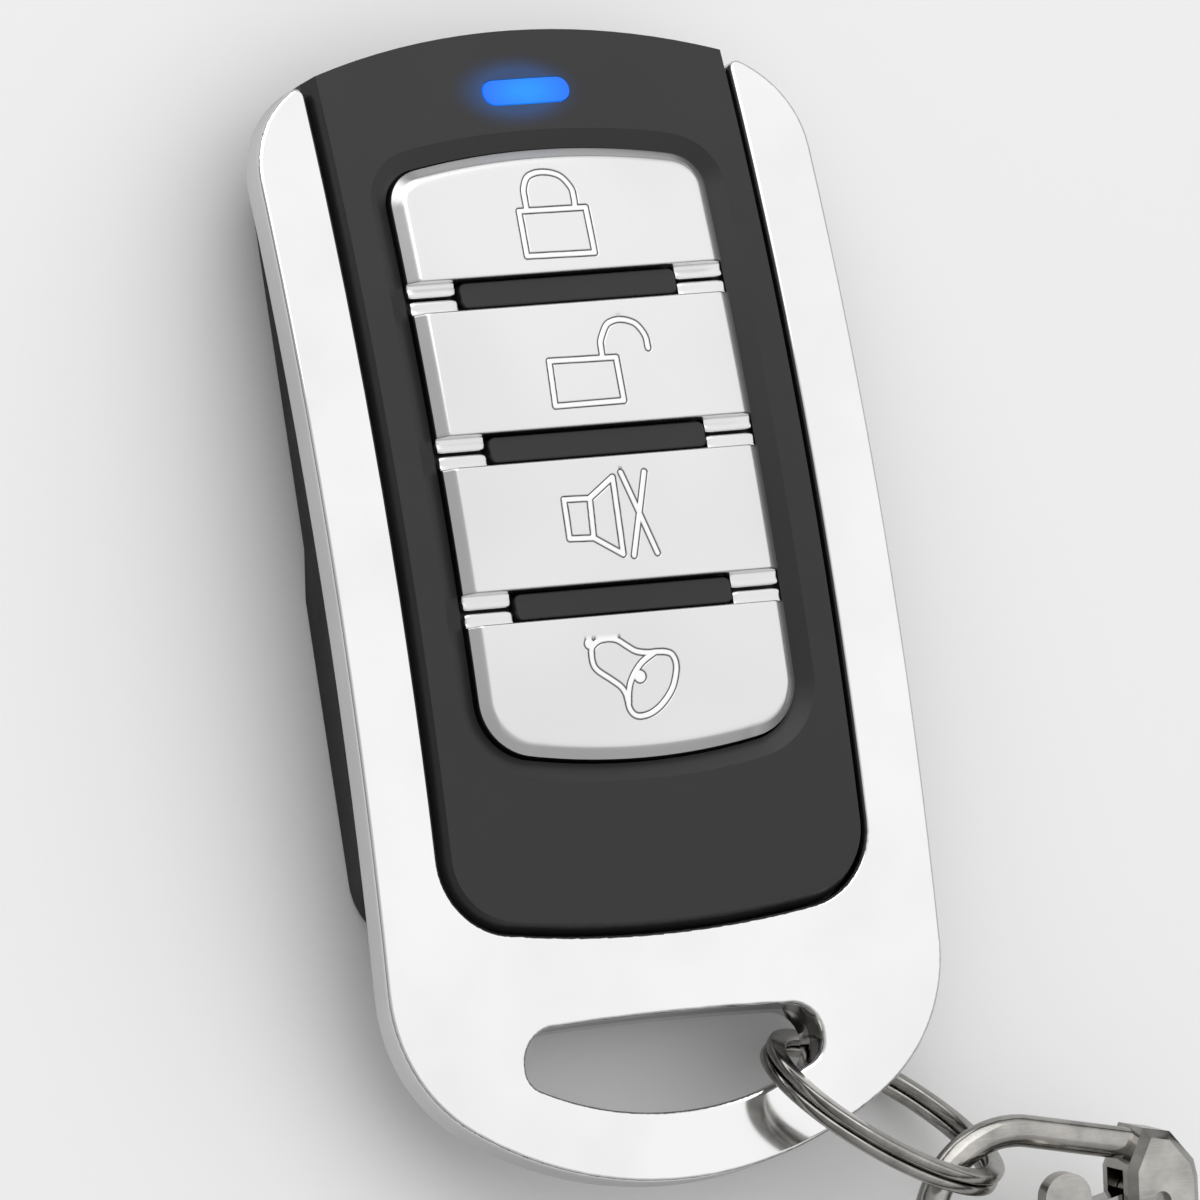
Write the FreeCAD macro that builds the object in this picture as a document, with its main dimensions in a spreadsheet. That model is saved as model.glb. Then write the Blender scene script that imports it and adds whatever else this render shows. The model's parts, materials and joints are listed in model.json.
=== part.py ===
import FreeCAD, Part
import math
import os
import re
import Sketcher

# A pocket garage door remote: an arched chrome frame with a key slot, a black two-part housing,
# four plated keys on a silicone mat, the electronics with their coin cell, and a split ring that
# carries a trigger snap hook. It lies on its back: +Z out of the keys, +Y towards the signal
# light, and the origin is on the flat of the battery hump, under the middle of the case.

doc = FreeCAD.newDocument("GarageRemote")

# Driving sizes: millimetres, and degrees where the name ends in angle
DRIVING = {
    # Case outline, seen from the front
    "case_width": 32.0,
    "case_length": 62.2,
    "top_radius": 38.0,
    "arm_tip_run": 0.475,
    "loop_radius": 21.8,
    "loop_corner": 9.0,
    # Arched face, and the height of its crown over the flat of the battery hump
    "face_radius": 155.0,
    "face_height": 9.0,
    # Frame
    "frame_thickness": 1.85,
    "frame_edge": 0.25,
    "frame_tip_radius": 0.5,
    "arm_width": 3.65,
    "loop_depth": 12.95,
    "opening_end_radius": 60.0,
    "opening_corner": 4.2,
    "land_inset": 1.3,
    "land_depth": 1.15,
    "land_overlap": 0.85,
    "slot_end_rim": 7.43,
    "slot_depth": 5.1,
    "slot_rim": 3.6,
    "slot_low_radius": 18.2,
    "slot_top_corner": 1.8,
    "slot_low_corner": 1.3,
    "peg_radius": 0.6,
    "peg_length": 0.9,
    "peg_inset": 2.3,
    "peg_high": 14.0,
    "peg_low": -8.0,
    # Fits
    "fit_gap": 0.1,
    "key_gap": 0.15,
    "hole_gap": 0.05,
    "seat_gap": 0.02,
    # Front shell
    "body_rise": 0.5,
    "body_bevel": 1.2,
    "body_bevel_depth": 0.45,
    "shell_wall": 1.1,
    "top_wall": 1.2,
    "flange_inset": 1.0,
    "flange_thickness": 1.0,
    "window_side": 3.1,
    "window_drop": 6.7,
    "window_low": -9.2,
    "window_top_radius": 40.0,
    "window_low_radius": 36.0,
    "window_top_corner": 2.2,
    "window_low_corner": 3.2,
    "window_bevel": 1.0,
    "window_bevel_depth": 0.5,
    "skirt_wall": 0.8,
    "top_bar": 16.45,
    "bar_pitch": 8.5,
    "bar_width": 1.4,
    "bar_end_gap": 3.0,
    "bar_level": 0.45,
    "bar_corner": 0.4,
    "bar_edge": 0.12,
    "web_level": -0.6,
    # Rear shell
    "rear_overlap": 0.35,
    "rear_end_radius": 60.0,
    "rear_corner": 4.5,
    "rear_wall": 1.1,
    "rear_taper_angle": 8.0,
    "back_step": 1.3,
    "ramp_start": 2.4,
    "ramp_end": 5.0,
    "rear_edge": 0.5,
    "post_radius": 0.8,
    "post_side": 9.5,
    "post_low": 7.0,
    "post_high": 21.0,
    "cell_rib": 0.8,
    "cell_rib_height": 2.0,
    # Case screws
    "boss_radius": 1.5,
    "rear_boss_radius": 1.9,
    "screw_head_radius": 1.2,
    "screw_head_height": 0.8,
    "screw_radius": 0.75,
    "screw_length": 3.4,
    "screw_recess": 0.4,
    "screw_floor": 1.4,
    "low_screw_inset": 5.0,
    "low_screw_rise": 3.85,
    "high_screw_inset": 7.0,
    "high_screw_drop": 4.9,
    # Coin cell
    "cell_radius": 8.0,
    "cell_thickness": 2.0,
    "cell_place": -7.8,
    "can_wall": 0.4,
    "can_lip_drop": 0.25,
    "gasket_wall": 0.4,
    "contact_thickness": 0.15,
    "contact_rise": 0.65,
    "contact_half_width": 3.0,
    "contact_half_length": 4.0,
    "clip_half_width": 2.0,
    "clip_foot": 1.4,
    # Circuit board and what stands on it
    "board_thickness": 0.8,
    "board_side_gap": 0.55,
    "board_end_gap": 0.6,
    "chip_width": 5.0,
    "chip_length": 6.0,
    "chip_height": 1.2,
    "chip_side": 3.0,
    "chip_place": 12.5,
    "resonator_radius": 2.0,
    "resonator_height": 1.1,
    "resonator_side": -4.0,
    "resonator_place": 19.0,
    "antenna_half_width": 8.3,
    "antenna_strip": 0.8,
    "antenna_thickness": 0.1,
    "antenna_low": 9.0,
    "antenna_high": 24.4,
    "small_part_length": 1.6,
    "small_part_width": 0.8,
    "small_part_height": 0.55,
    "small_part_pitch": 2.1,
    "small_part_place": 6.4,
    "switch_size": 4.5,
    "switch_height": 0.7,
    "switch_floor": 0.3,
    "plunger_radius": 0.95,
    "plunger_rise": 0.25,
    "end_key_offset": 4.0,
    # Keys and their mat
    "mat_gap": 0.05,
    "mat_thickness": 0.45,
    "mat_rim": 1.0,
    "mat_margin": 0.6,
    "key_level": 0.9,
    "key_bevel": 0.6,
    "key_bevel_depth": 0.45,
    "key_top_wall": 1.0,
    "key_skirt": 0.9,
    "key_skirt_rise": 0.5,
    "key_post_radius": 1.5,
    "lip_level": 0.2,
    "lip_thickness": 0.45,
    "lip_gap": 0.16,
    "key_travel": 0.25,
    # Signal light
    "light_drop": 3.5,
    "light_half_width": 2.55,
    "light_half_height": 0.75,
    "light_corner": 0.7,
    "light_flange": 0.6,
    "light_proud": 0.04,
    "diode_width": 3.2,
    "diode_length": 1.6,
    "diode_height": 0.55,
    # Split ring: two turns of flat wire, leaning through the right end of the slot
    "ring_radius": 7.2,
    "ring_wall": 1.05,
    "ring_wire": 0.63,
    "ring_turn_gap": 0.06,
    "ring_step_angle": 30.0,
    "ring_end_angle": 3.0,
    "ring_seam_angle": 246.0,
    "ring_yaw_angle": -39.9,
    "ring_pitch_angle": -13.26,
    "ring_roll_angle": 124.55,
    "ring_side": 3.03,
    "ring_drop": 1.22,
    "table_gap": 0.03,
    # Snap hook, in its own flat frame: X across, Y from the swivel to the bow
    "hook_link_angle": 128.0,
    "hook_link_gap": 0.62,
    "rod_radius": 0.87,
    "bow_side": -1.92,
    "bow_middle": -3.94,
    "bow_radius": 5.0,
    "bow_turn_angle": 78.0,
    "bow_run": 7.65,
    "bow_corner": 0.95,
    "bow_tip": -6.7,
    "hook_thickness": 3.8,
    "hook_bevel": 0.45,
    "hook_margin": 0.15,
    "hook_waist": -10.6,
    "hook_foot": -14.6,
    "hook_foot_half": 3.0,
    "hook_shoulder": 1.6,
    "hook_nose": 1.6,
    "crown_inset": 0.2,
    "crown_rise": 0.3,
    "crown_drop": 0.6,
    "gate_slot": 1.9,
    "gate_thickness": 1.7,
    "gate_half_width": 0.85,
    "gate_tip_gap": 0.4,
    "gate_tip_inset": 1.0,
    "gate_open_angle": 12.0,
    "gate_pivot_x": 11.0,
    "gate_pivot_y": -3.3,
    "gate_eye_radius": 1.4,
    "gate_room": 0.4,
    "pin_radius": 0.55,
    "pin_recess": 0.45,
    "spring_wall": 0.3,
    "spring_length": 0.7,
    "thumb_x": 5.4,
    "thumb_y": -2.55,
    "thumb_radius": 1.35,
    "thumb_level": 1.05,
    "thumb_height": 1.0,
    "swivel_radius": 1.1,
    "swivel_gap": 0.06,
    "swivel_head_radius": 1.9,
    "swivel_head_height": 1.0,
    "swivel_head_room": 0.4,
    "collar_gap": 0.1,
    "swivel_web": 1.5,
    "swivel_collar": 0.9,
    "eye_radius": 4.6,
    "eye_wire": 0.9,
}

sizes = doc.addObject("Spreadsheet::Sheet", "Sizes")
for row, (alias, number) in enumerate(DRIVING.items(), start=1):
    sizes.set(f"A{row}", alias)
    sizes.set(f"B{row}", str(number))
    sizes.setAlias(f"B{row}", alias)
doc.recompute()


# Expressions: a size's plain name becomes its cell
def cell_names(text):
    return re.sub(r"\b[a-z_]+\b", lambda word: "Sizes." + word[0] if word[0] in DRIVING else word[0], text)


def amount(text):
    return float(sizes.evalExpression(cell_names(text)))


def bind(thing, prop, text):
    thing.setExpression(prop, cell_names(text))


def place(thing, x, y, z):
    bind(thing, "Placement.Base.x", x)
    bind(thing, "Placement.Base.y", y)
    bind(thing, "Placement.Base.z", z)


# Building blocks
def add(kind, name):
    return doc.addObject(kind, name)


def box(name, x_span, y_span, z_span):
    block = add("Part::Box", name)
    for prop, (low, high) in zip(("Length", "Width", "Height"), (x_span, y_span, z_span)):
        bind(block, prop, f"({high}) - ({low})")
    place(block, x_span[0], y_span[0], z_span[0])
    return block


def rod(name, radius, x, y, z_span):
    turned = add("Part::Cylinder", name)
    bind(turned, "Radius", radius)
    bind(turned, "Height", f"({z_span[1]}) - ({z_span[0]})")
    place(turned, x, y, z_span[0])
    return turned


def cut(name, base, *tools):
    result = base
    for count, tool in enumerate(tools):
        step = add("Part::Cut", f"{name}_{count}")
        step.Base = result
        step.Tool = tool
        result = step
    return result


def common(name, *pieces):
    shared = add("Part::MultiCommon", name)
    shared.Shapes = list(pieces)
    return shared


def fuse(name, *pieces):
    joined = add("Part::MultiFuse", name)
    joined.Shapes = list(pieces)
    return joined


def group(name, *pieces):
    together = add("Part::Compound", name)
    together.Links = list(pieces)
    return together


def extrude(name, sketch, length, along=FreeCAD.Vector(0, 0, 1), both_ways=False, taper="0"):
    solid = add("Part::Extrusion", name)
    solid.Base = sketch
    solid.DirMode = "Custom"
    solid.Dir = along
    solid.Solid = True
    solid.Symmetric = both_ways
    bind(solid, "LengthFwd", length)
    bind(solid, "TaperAngle", taper)
    return solid


# The arched face and every surface that follows it share one axis, which lies along X
ARCH_SPAN = "case_width * 2"
arches = {}


def arch(level):
    if level not in arches:
        drum = add("Part::Cylinder", f"arch_{len(arches)}")
        drum.Placement.Rotation = FreeCAD.Rotation(FreeCAD.Vector(0, 1, 0), 90)
        bind(drum, "Radius", f"face_radius + ({level})")
        bind(drum, "Height", ARCH_SPAN)
        place(drum, f"-({ARCH_SPAN}) / 2", "0", "face_height - face_radius")
        arches[level] = drum
    return arches[level]


def arch_z(level, y):
    return f"(face_height - face_radius + sqrt((face_radius + ({level}))^2 - ({y})^2))"


# An outline has two straight sides, an arc across each end and a round corner where they meet.
# Each end is given as the place of its apex, the arc's radius and the corner's radius.
def rounded_outline(name, half_width, top, low, height="0", middle="0"):
    sketch = add("Sketcher::SketchObject", name)
    width = amount(half_width)
    up = FreeCAD.Vector(0, 0, 1)

    def corner_centre(end, direction):
        apex, radius, corner = [amount(text) for text in end]
        centre = apex - direction * radius
        rise = math.sqrt((radius - corner) ** 2 - (width - corner) ** 2)
        return centre, centre + direction * rise, math.atan2(rise, width - corner)

    def arc(x, y, radius, start, stop):
        return Part.ArcOfCircle(Part.Circle(FreeCAD.Vector(x, y, 0), up, radius), start, stop)

    def side(x, start, stop):
        return Part.LineSegment(FreeCAD.Vector(x, start, 0), FreeCAD.Vector(x, stop, 0))

    top_centre, top_y, top_lean = corner_centre(top, 1)
    low_centre, low_y, low_lean = corner_centre(low, -1)
    top_round, low_round = amount(top[2]), amount(low[2])
    half, full = math.pi, 2 * math.pi
    sketch.addGeometry([
        side(width, low_y, top_y),
        arc(width - top_round, top_y, top_round, 0, top_lean),
        arc(0, top_centre, amount(top[1]), top_lean, half - top_lean),
        arc(top_round - width, top_y, top_round, half - top_lean, half),
        side(-width, top_y, low_y),
        arc(low_round - width, low_y, low_round, half, half + low_lean),
        arc(0, low_centre, amount(low[1]), half + low_lean, full - low_lean),
        arc(width - low_round, low_y, low_round, full - low_lean, full),
    ])
    right, top_right, top_arc, top_left, left, low_left, low_arc, low_right = range(8)
    start, stop, centre, origin = 1, 2, 3, -1
    y_axis = -2
    for edge in range(8):
        sketch.addConstraint(Sketcher.Constraint("Tangent", edge, stop, (edge + 1) % 8, start))
    for edge in (right, left):
        sketch.addConstraint(Sketcher.Constraint("Vertical", edge))
    sketch.addConstraint(Sketcher.Constraint("PointOnObject", top_arc, centre, y_axis))
    sketch.addConstraint(Sketcher.Constraint("PointOnObject", low_arc, centre, y_axis))
    sketch.addConstraint(Sketcher.Constraint("Equal", top_right, top_left))
    sketch.addConstraint(Sketcher.Constraint("Equal", low_right, low_left))

    def dimension(label, text, kind, *points):
        index = sketch.addConstraint(Sketcher.Constraint(kind, *points, amount(text)))
        sketch.renameConstraint(index, label)
        bind(sketch, f".Constraints.{label}", text)

    dimension("right_side", half_width, "DistanceX", origin, 1, right, start)
    dimension("left_side", half_width, "DistanceX", left, start, origin, 1)
    dimension("top_centre", f"({top[0]}) - ({top[1]})", "DistanceY", origin, 1, top_arc, centre)
    dimension("low_centre", f"({low[0]}) + ({low[1]})", "DistanceY", origin, 1, low_arc, centre)
    dimension("top_arc_radius", top[1], "Radius", top_arc)
    dimension("low_arc_radius", low[1], "Radius", low_arc)
    dimension("top_round", top[2], "Radius", top_right)
    dimension("low_round", low[2], "Radius", low_right)
    place(sketch, middle, "0", height)
    return sketch


# A profile in the Y-Z plane, given by its corners
def side_profile(name, corners):
    sketch = add("Sketcher::SketchObject", name)
    sketch.Placement.Rotation = FreeCAD.Rotation(FreeCAD.Vector(1, 1, 1), 120)
    spots = [FreeCAD.Vector(amount(y), amount(z), 0) for y, z in corners]
    sketch.addGeometry([Part.LineSegment(a, b) for a, b in zip(spots, spots[1:] + spots[:1])])
    for edge in range(len(spots)):
        following = (edge + 1) % len(spots)
        sketch.addConstraint(Sketcher.Constraint("Coincident", edge, 2, following, 1))
    for edge, texts in enumerate(corners):
        for kind, text in zip(("DistanceX", "DistanceY"), texts):
            label = f"{kind}_{edge}"
            index = sketch.addConstraint(Sketcher.Constraint(kind, -1, 1, edge, 1, amount(text)))
            sketch.renameConstraint(index, label)
            bind(sketch, f".Constraints.{label}", text)
    return sketch


# Everything of an upright solid that lies between two levels of the arch
def arched_layer(name, upright, top_level, low_level):
    return cut(f"{name}_layer", common(f"{name}_crown", upright, arch(top_level)), arch(low_level))


# Bevels and rounds go on the edges that a test picks out
def edges_where(solid, test):
    doc.recompute()
    return [number for number, edge in enumerate(solid.Shape.Edges, start=1) if test(edge)]


def chamfer(name, base, test, along_top, down_side):
    bevelled = add("Part::Chamfer", name)
    bevelled.Base = base
    bevelled.Edges = [(number, along_top, down_side) for number in edges_where(base, test)]
    return bevelled


def fillet(name, base, test, radius):
    rounded = add("Part::Fillet", name)
    rounded.Base = base
    rounded.Edges = [(number, radius, radius) for number in edges_where(base, test)]
    return rounded


def middle_of(edge):
    return edge.valueAt((edge.FirstParameter + edge.LastParameter) / 2)


def on_arch(point, level):
    axis_z = amount("face_height - face_radius")
    reach = math.hypot(point.y, point.z - axis_z)
    return abs(reach - amount(f"face_radius + ({level})")) < 1e-4


nodes = {}


def sub_part(label, solid):
    solid.Label = label
    nodes[label] = solid
    return solid


TALL = "face_height * 2"
ALL_X = ("-case_width", "case_width")
ALL_Y = ("-case_length", "case_length")
ARM_INNER = "(case_width / 2 - arm_width)"
TOP_CORNER = f"(top_radius * (arm_width + arm_tip_run) / (top_radius - {ARM_INNER} + arm_tip_run))"
CASE_TOP = ("case_length / 2", "top_radius", TOP_CORNER)
CASE_LOW = ("-case_length / 2", "loop_radius", "loop_corner")


def inset(end, distance, direction):
    apex, radius, corner = end
    return (f"{apex} - ({direction}) * ({distance})", f"{radius} - ({distance})", f"{corner} - ({distance})")


case_outline = rounded_outline("case_outline", "case_width / 2", CASE_TOP, CASE_LOW)
case_block = extrude("case_block", case_outline, TALL)

# Chrome frame: an arched plate whose arms stand either side of the body, open at the top end
OPENING_LOW = ("(loop_depth - case_length / 2)", "opening_end_radius", "opening_corner")
BEYOND = "case_length"
opening_outline = rounded_outline(
    "opening_outline",
    ARM_INNER,
    (BEYOND, f"{BEYOND} * 4", "opening_corner"),
    OPENING_LOW,
)
opening_block = extrude("opening_block", opening_outline, TALL)
frame_plate = cut("frame_open", arched_layer("frame", case_block, "0", "-frame_thickness"), opening_block)

land_outline = rounded_outline(
    "land_outline",
    "case_width / 2 - land_inset",
    inset(CASE_TOP, "land_inset", 1),
    inset(CASE_LOW, "land_inset", -1),
)
land_block = common(
    "land_block",
    extrude("land_prism", land_outline, TALL),
    box("land_reach", ALL_X, ("-case_length", f"{OPENING_LOW[0]} - land_overlap"), ("0", TALL)),
)
land = arched_layer("land", land_block, "-frame_thickness / 2", "-frame_thickness - land_depth")

SLOT_LOW = "(slot_rim - case_length / 2)"
SLOT_HALF = "(case_width / 2 - slot_end_rim)"
slot_outline = rounded_outline(
    "slot_outline",
    SLOT_HALF,
    (f"{SLOT_LOW} + slot_depth", "face_radius", "slot_top_corner"),
    (SLOT_LOW, "slot_low_radius", "slot_low_corner"),
)
slot_block = extrude("slot_block", slot_outline, TALL)

PEG_SIDE = "(case_width / 2 - peg_inset)"
PEG_SPOTS = [(side, along) for side in (PEG_SIDE, f"-{PEG_SIDE}") for along in ("peg_high", "peg_low")]


def peg(name, spot, radius, length):
    x, y = spot
    seat = arch_z("-frame_thickness", y)
    return rod(name, radius, x, y, (f"{seat} - ({length})", f"{seat} + frame_thickness / 2"))


pegs = [peg(f"peg_{n}", spot, "peg_radius", "peg_length") for n, spot in enumerate(PEG_SPOTS)]
frame_blank = cut("frame_slotted", fuse("frame_cast", frame_plate, land, *pegs), slot_block)


def on_frame_face(edge):
    return on_arch(middle_of(edge), "0") and on_arch(edge.valueAt(edge.FirstParameter), "0")


def at_arm_tip(edge):
    spot = middle_of(edge)
    upright = abs(edge.tangentAt(edge.FirstParameter).z) > 0.9
    beside = abs(abs(spot.x) - amount(ARM_INNER)) < 0.01
    return upright and beside and spot.y > amount("loop_depth")


frame_tips = fillet("frame_tips", frame_blank, at_arm_tip, amount("frame_tip_radius"))
sub_part("chrome_frame", fillet("frame_rounded", frame_tips, on_frame_face, amount("frame_edge")))

# Front shell: the proud body between the arms, the flange that carries them, the key window
BODY_HALF = f"({ARM_INNER} - fit_gap)"
BODY_LOW = inset(OPENING_LOW, "fit_gap", -1)
body_outline = rounded_outline(
    "body_outline",
    BODY_HALF,
    (BEYOND, f"{BEYOND} * 4", "opening_corner"),
    BODY_LOW,
)
UNDER_FRAME = "-frame_thickness - seat_gap"
PARTING = "-frame_thickness - flange_thickness"
body_prism = common("body_prism", extrude("body_block", body_outline, TALL), case_block)
body_blank = arched_layer("body", body_prism, "body_rise", PARTING)


def on_body_rim(edge):
    spot = middle_of(edge)
    level = on_arch(spot, "body_rise") and on_arch(edge.valueAt(edge.FirstParameter), "body_rise")
    return level and spot.y < amount("case_length / 2 - window_drop")


BEVEL_WIDE = amount("body_bevel")
BEVEL_DEEP = amount("body_bevel_depth")
body = chamfer("body_bevelled", body_blank, on_body_rim, BEVEL_WIDE, BEVEL_DEEP)

REAR_TOP = inset(CASE_TOP, "flange_inset", 1)
REAR_END = f"({OPENING_LOW[0]} - rear_overlap)"
REAR_LOW = (REAR_END, "rear_end_radius", "rear_corner")
REAR_HALF = "(case_width / 2 - flange_inset)"
flange_outline = rounded_outline("flange_outline", REAR_HALF, REAR_TOP, REAR_LOW)
flange = arched_layer("flange", extrude("flange_block", flange_outline, TALL), UNDER_FRAME, PARTING)

cavity_outline = rounded_outline(
    "cavity_outline",
    f"{BODY_HALF} - shell_wall",
    inset(CASE_TOP, "shell_wall", 1),
    inset(BODY_LOW, "shell_wall", -1),
)
UNDER_TOP = "body_rise - top_wall"
cavity = common("front_cavity", extrude("cavity_block", cavity_outline, TALL), arch(UNDER_TOP))
front_hollow = cut("front_hollow", fuse("front_solid", body, flange), cavity)

# Heights of the layers between the two shells
CELL_BASE = "(rear_wall + fit_gap)"
BOARD_BASE = f"({CELL_BASE} + cell_thickness + contact_rise)"
BOARD_TOP = f"({BOARD_BASE} + board_thickness)"
SWITCH_TOP = f"({BOARD_TOP} + switch_height)"
PLUNGER_TOP = f"({SWITCH_TOP} + plunger_rise)"
MAT_BASE = f"({PLUNGER_TOP} + mat_gap)"
MAT_TOP = f"({MAT_BASE} + mat_thickness)"

WINDOW_HALF = f"({ARM_INNER} - window_side)"
WINDOW_TOP = ("(case_length / 2 - window_drop)", "window_top_radius", "window_top_corner")
WINDOW_LOW = ("window_low", "window_low_radius", "window_low_corner")


def window_prism(name, grow, z_low):
    outline = rounded_outline(
        f"{name}_outline",
        f"{WINDOW_HALF} + ({grow})",
        inset(WINDOW_TOP, f"-({grow})", 1),
        inset(WINDOW_LOW, f"-({grow})", -1),
        height=z_low,
    )
    return extrude(name, outline, TALL)


skirt = common("skirt", window_prism("skirt_block", "skirt_wall", f"{MAT_TOP} + mat_gap"), arch("0"))
window = window_prism("window_block", "0", "0")
front_open = cut("front_open", fuse("front_skirted", front_hollow, skirt), window)


def on_window_rim(edge):
    spot = middle_of(edge)
    if not on_arch(spot, "body_rise"):
        return False
    inside = abs(spot.x) < amount(f"{WINDOW_HALF} + window_bevel / 2")
    return inside and amount("window_low - 1") < spot.y < amount(f"{WINDOW_TOP[0]} + 1")


RIM_WIDE = amount("window_bevel")
RIM_DEEP = amount("window_bevel_depth")
front_framed = chamfer("front_framed", front_open, on_window_rim, RIM_WIDE, RIM_DEEP)

BARS = [f"(top_bar - {n} * bar_pitch)" for n in range(3)]
BAR_HALF = f"({WINDOW_HALF} - bar_end_gap)"


def is_upright(edge):
    return abs(edge.tangentAt(edge.FirstParameter).z) > 0.9


def on_bar_top(edge):
    return on_arch(middle_of(edge), "bar_level") and on_arch(edge.valueAt(edge.FirstParameter), "bar_level")


def crossbar(number, y):
    y_span = (f"{y} - bar_width / 2", f"{y} + bar_width / 2")
    z_span = (f"{MAT_TOP} + mat_gap", TALL)
    web_half = f"({WINDOW_HALF} + skirt_wall / 2)"
    web = common(
        f"web_{number}",
        box(f"web_block_{number}", (f"-{web_half}", web_half), y_span, z_span),
        arch("web_level"),
    )
    block = box(f"bar_block_{number}", (f"-{BAR_HALF}", BAR_HALF), y_span, z_span)
    rounded = fillet(f"bar_rounded_{number}", block, is_upright, amount("bar_corner"))
    bar = common(f"bar_{number}", rounded, arch("bar_level"))
    soft_bar = fillet(f"bar_soft_{number}", bar, on_bar_top, amount("bar_edge"))
    return fuse(f"crossbar_{number}", web, soft_bar)


crossbars = [crossbar(number, y) for number, y in enumerate(BARS)]

# Screw bosses: the front ones are pilot bored and end just over the rear ones
LOW_SIDE, LOW_PLACE = "(case_width / 2 - low_screw_inset)", f"({OPENING_LOW[0]} + low_screw_rise)"
HIGH_SIDE, HIGH_PLACE = "(case_width / 2 - high_screw_inset)", "(case_length / 2 - high_screw_drop)"
LOW_SPOTS = [(LOW_SIDE, LOW_PLACE), (f"-{LOW_SIDE}", LOW_PLACE)]
HIGH_SPOTS = [(HIGH_SIDE, HIGH_PLACE), (f"-{HIGH_SIDE}", HIGH_PLACE)]
SCREWS = [(spot, "0") for spot in LOW_SPOTS] + [(spot, "back_step") for spot in HIGH_SPOTS]


def screw_seat(back):
    return f"({back} + screw_recess + screw_head_height)"


def boss_joint(back):
    return f"({screw_seat(back)} + screw_floor)"


def front_boss(number, spot, back):
    x, y = spot
    column = rod(f"front_boss_{number}", "boss_radius", x, y, (f"{boss_joint(back)} + fit_gap", TALL))
    under_body = f"{UNDER_TOP} + top_wall / 2"
    in_flange = "-frame_thickness - flange_thickness / 2"
    root = arch(under_body if spot in HIGH_SPOTS else in_flange)
    return common(f"front_boss_top_{number}", column, root, case_block)


def pilot(number, spot, back):
    x, y = spot
    seat = screw_seat(back)
    span = (f"{seat} - fit_gap", f"{seat} + screw_length + fit_gap")
    return rod(f"pilot_{number}", "screw_radius + hole_gap", x, y, span)


front_bosses = [front_boss(n, spot, back) for n, (spot, back) in enumerate(SCREWS)]
pilots = [pilot(n, spot, back) for n, (spot, back) in enumerate(SCREWS)]
peg_holes = [
    peg(f"peg_hole_{n}", spot, "peg_radius + hole_gap", "flange_thickness")
    for n, spot in enumerate(PEG_SPOTS)
]


LIGHT_PLACE = "(case_length / 2 - light_drop)"


def light_prism(name, grow, z_low):
    outline = rounded_outline(
        f"{name}_outline",
        f"light_half_width + ({grow})",
        (f"{LIGHT_PLACE} + light_half_height + ({grow})", "face_radius", f"light_corner + ({grow})"),
        (f"{LIGHT_PLACE} - light_half_height - ({grow})", "face_radius", f"light_corner + ({grow})"),
        height=z_low,
    )
    return extrude(name, outline, TALL)


front_body = fuse("front_body", front_framed, *crossbars, *front_bosses)
light_hole = light_prism("light_hole", "0", "0")
sub_part("front_shell", cut("front_bored", front_body, light_hole, *pilots, *peg_holes))

# Rear shell: a tapered tray with a battery hump, a ramp and a higher flat behind the keys
PARTING_Z = "(face_height - frame_thickness - flange_thickness)"
DOWN = FreeCAD.Vector(0, 0, -1)
FAR = "case_length"


def rear_prism(name, thinner):
    outline = rounded_outline(
        f"{name}_outline",
        f"{REAR_HALF} - ({thinner})",
        inset(REAR_TOP, thinner, 1),
        inset(REAR_LOW, thinner, -1),
        height=PARTING_Z,
    )
    return extrude(name, outline, PARTING_Z, along=DOWN, taper="-rear_taper_angle")


def back_profile(name, floor):
    turn = f"({floor}) * tan(atan(back_step / (ramp_end - ramp_start)) / 2)"
    corners = [
        (f"-{FAR}", floor),
        (f"ramp_start - {turn}", floor),
        (f"ramp_end - {turn}", f"back_step + ({floor})"),
        (FAR, f"back_step + ({floor})"),
        (FAR, TALL),
        (f"-{FAR}", TALL),
    ]
    return extrude(name, side_profile(f"{name}_corners", corners), ARCH_SPAN, FreeCAD.Vector(1, 0, 0), True)


rear_blank = common("rear_blank", rear_prism("rear_block", "0"), back_profile("back_outside", "0"),
                    arch(f"{PARTING} - seat_gap"))


def on_back(edge):
    spot = middle_of(edge)
    ends = [edge.valueAt(edge.FirstParameter), edge.valueAt(edge.LastParameter)]
    low = all(point.z < amount("back_step") + 1e-6 for point in ends + [spot])
    across = abs(ends[0].y - ends[1].y) < 1e-6 and abs(ends[0].x + ends[1].x) < 1e-6 and abs(spot.x) < 1e-6
    on_ramp = across and amount("ramp_start - 1") < spot.y < amount("ramp_end + 1")
    return low and not on_ramp


rear_rounded = fillet("rear_rounded", rear_blank, on_back, amount("rear_edge"))
tray = common("tray", rear_prism("tray_block", "rear_wall"), back_profile("tray_floor", "rear_wall"))
rear_hollow = cut("rear_hollow", rear_rounded, tray)


def rear_boss(number, spot, back):
    x, y = spot
    return rod(f"rear_boss_{number}", "rear_boss_radius", x, y, (f"{back} + rear_wall / 2", boss_joint(back)))


def board_post(number, x, y):
    span = ("back_step + rear_wall / 2", BOARD_BASE)
    return rod(f"board_post_{number}", "post_radius", x, y, span)


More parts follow.
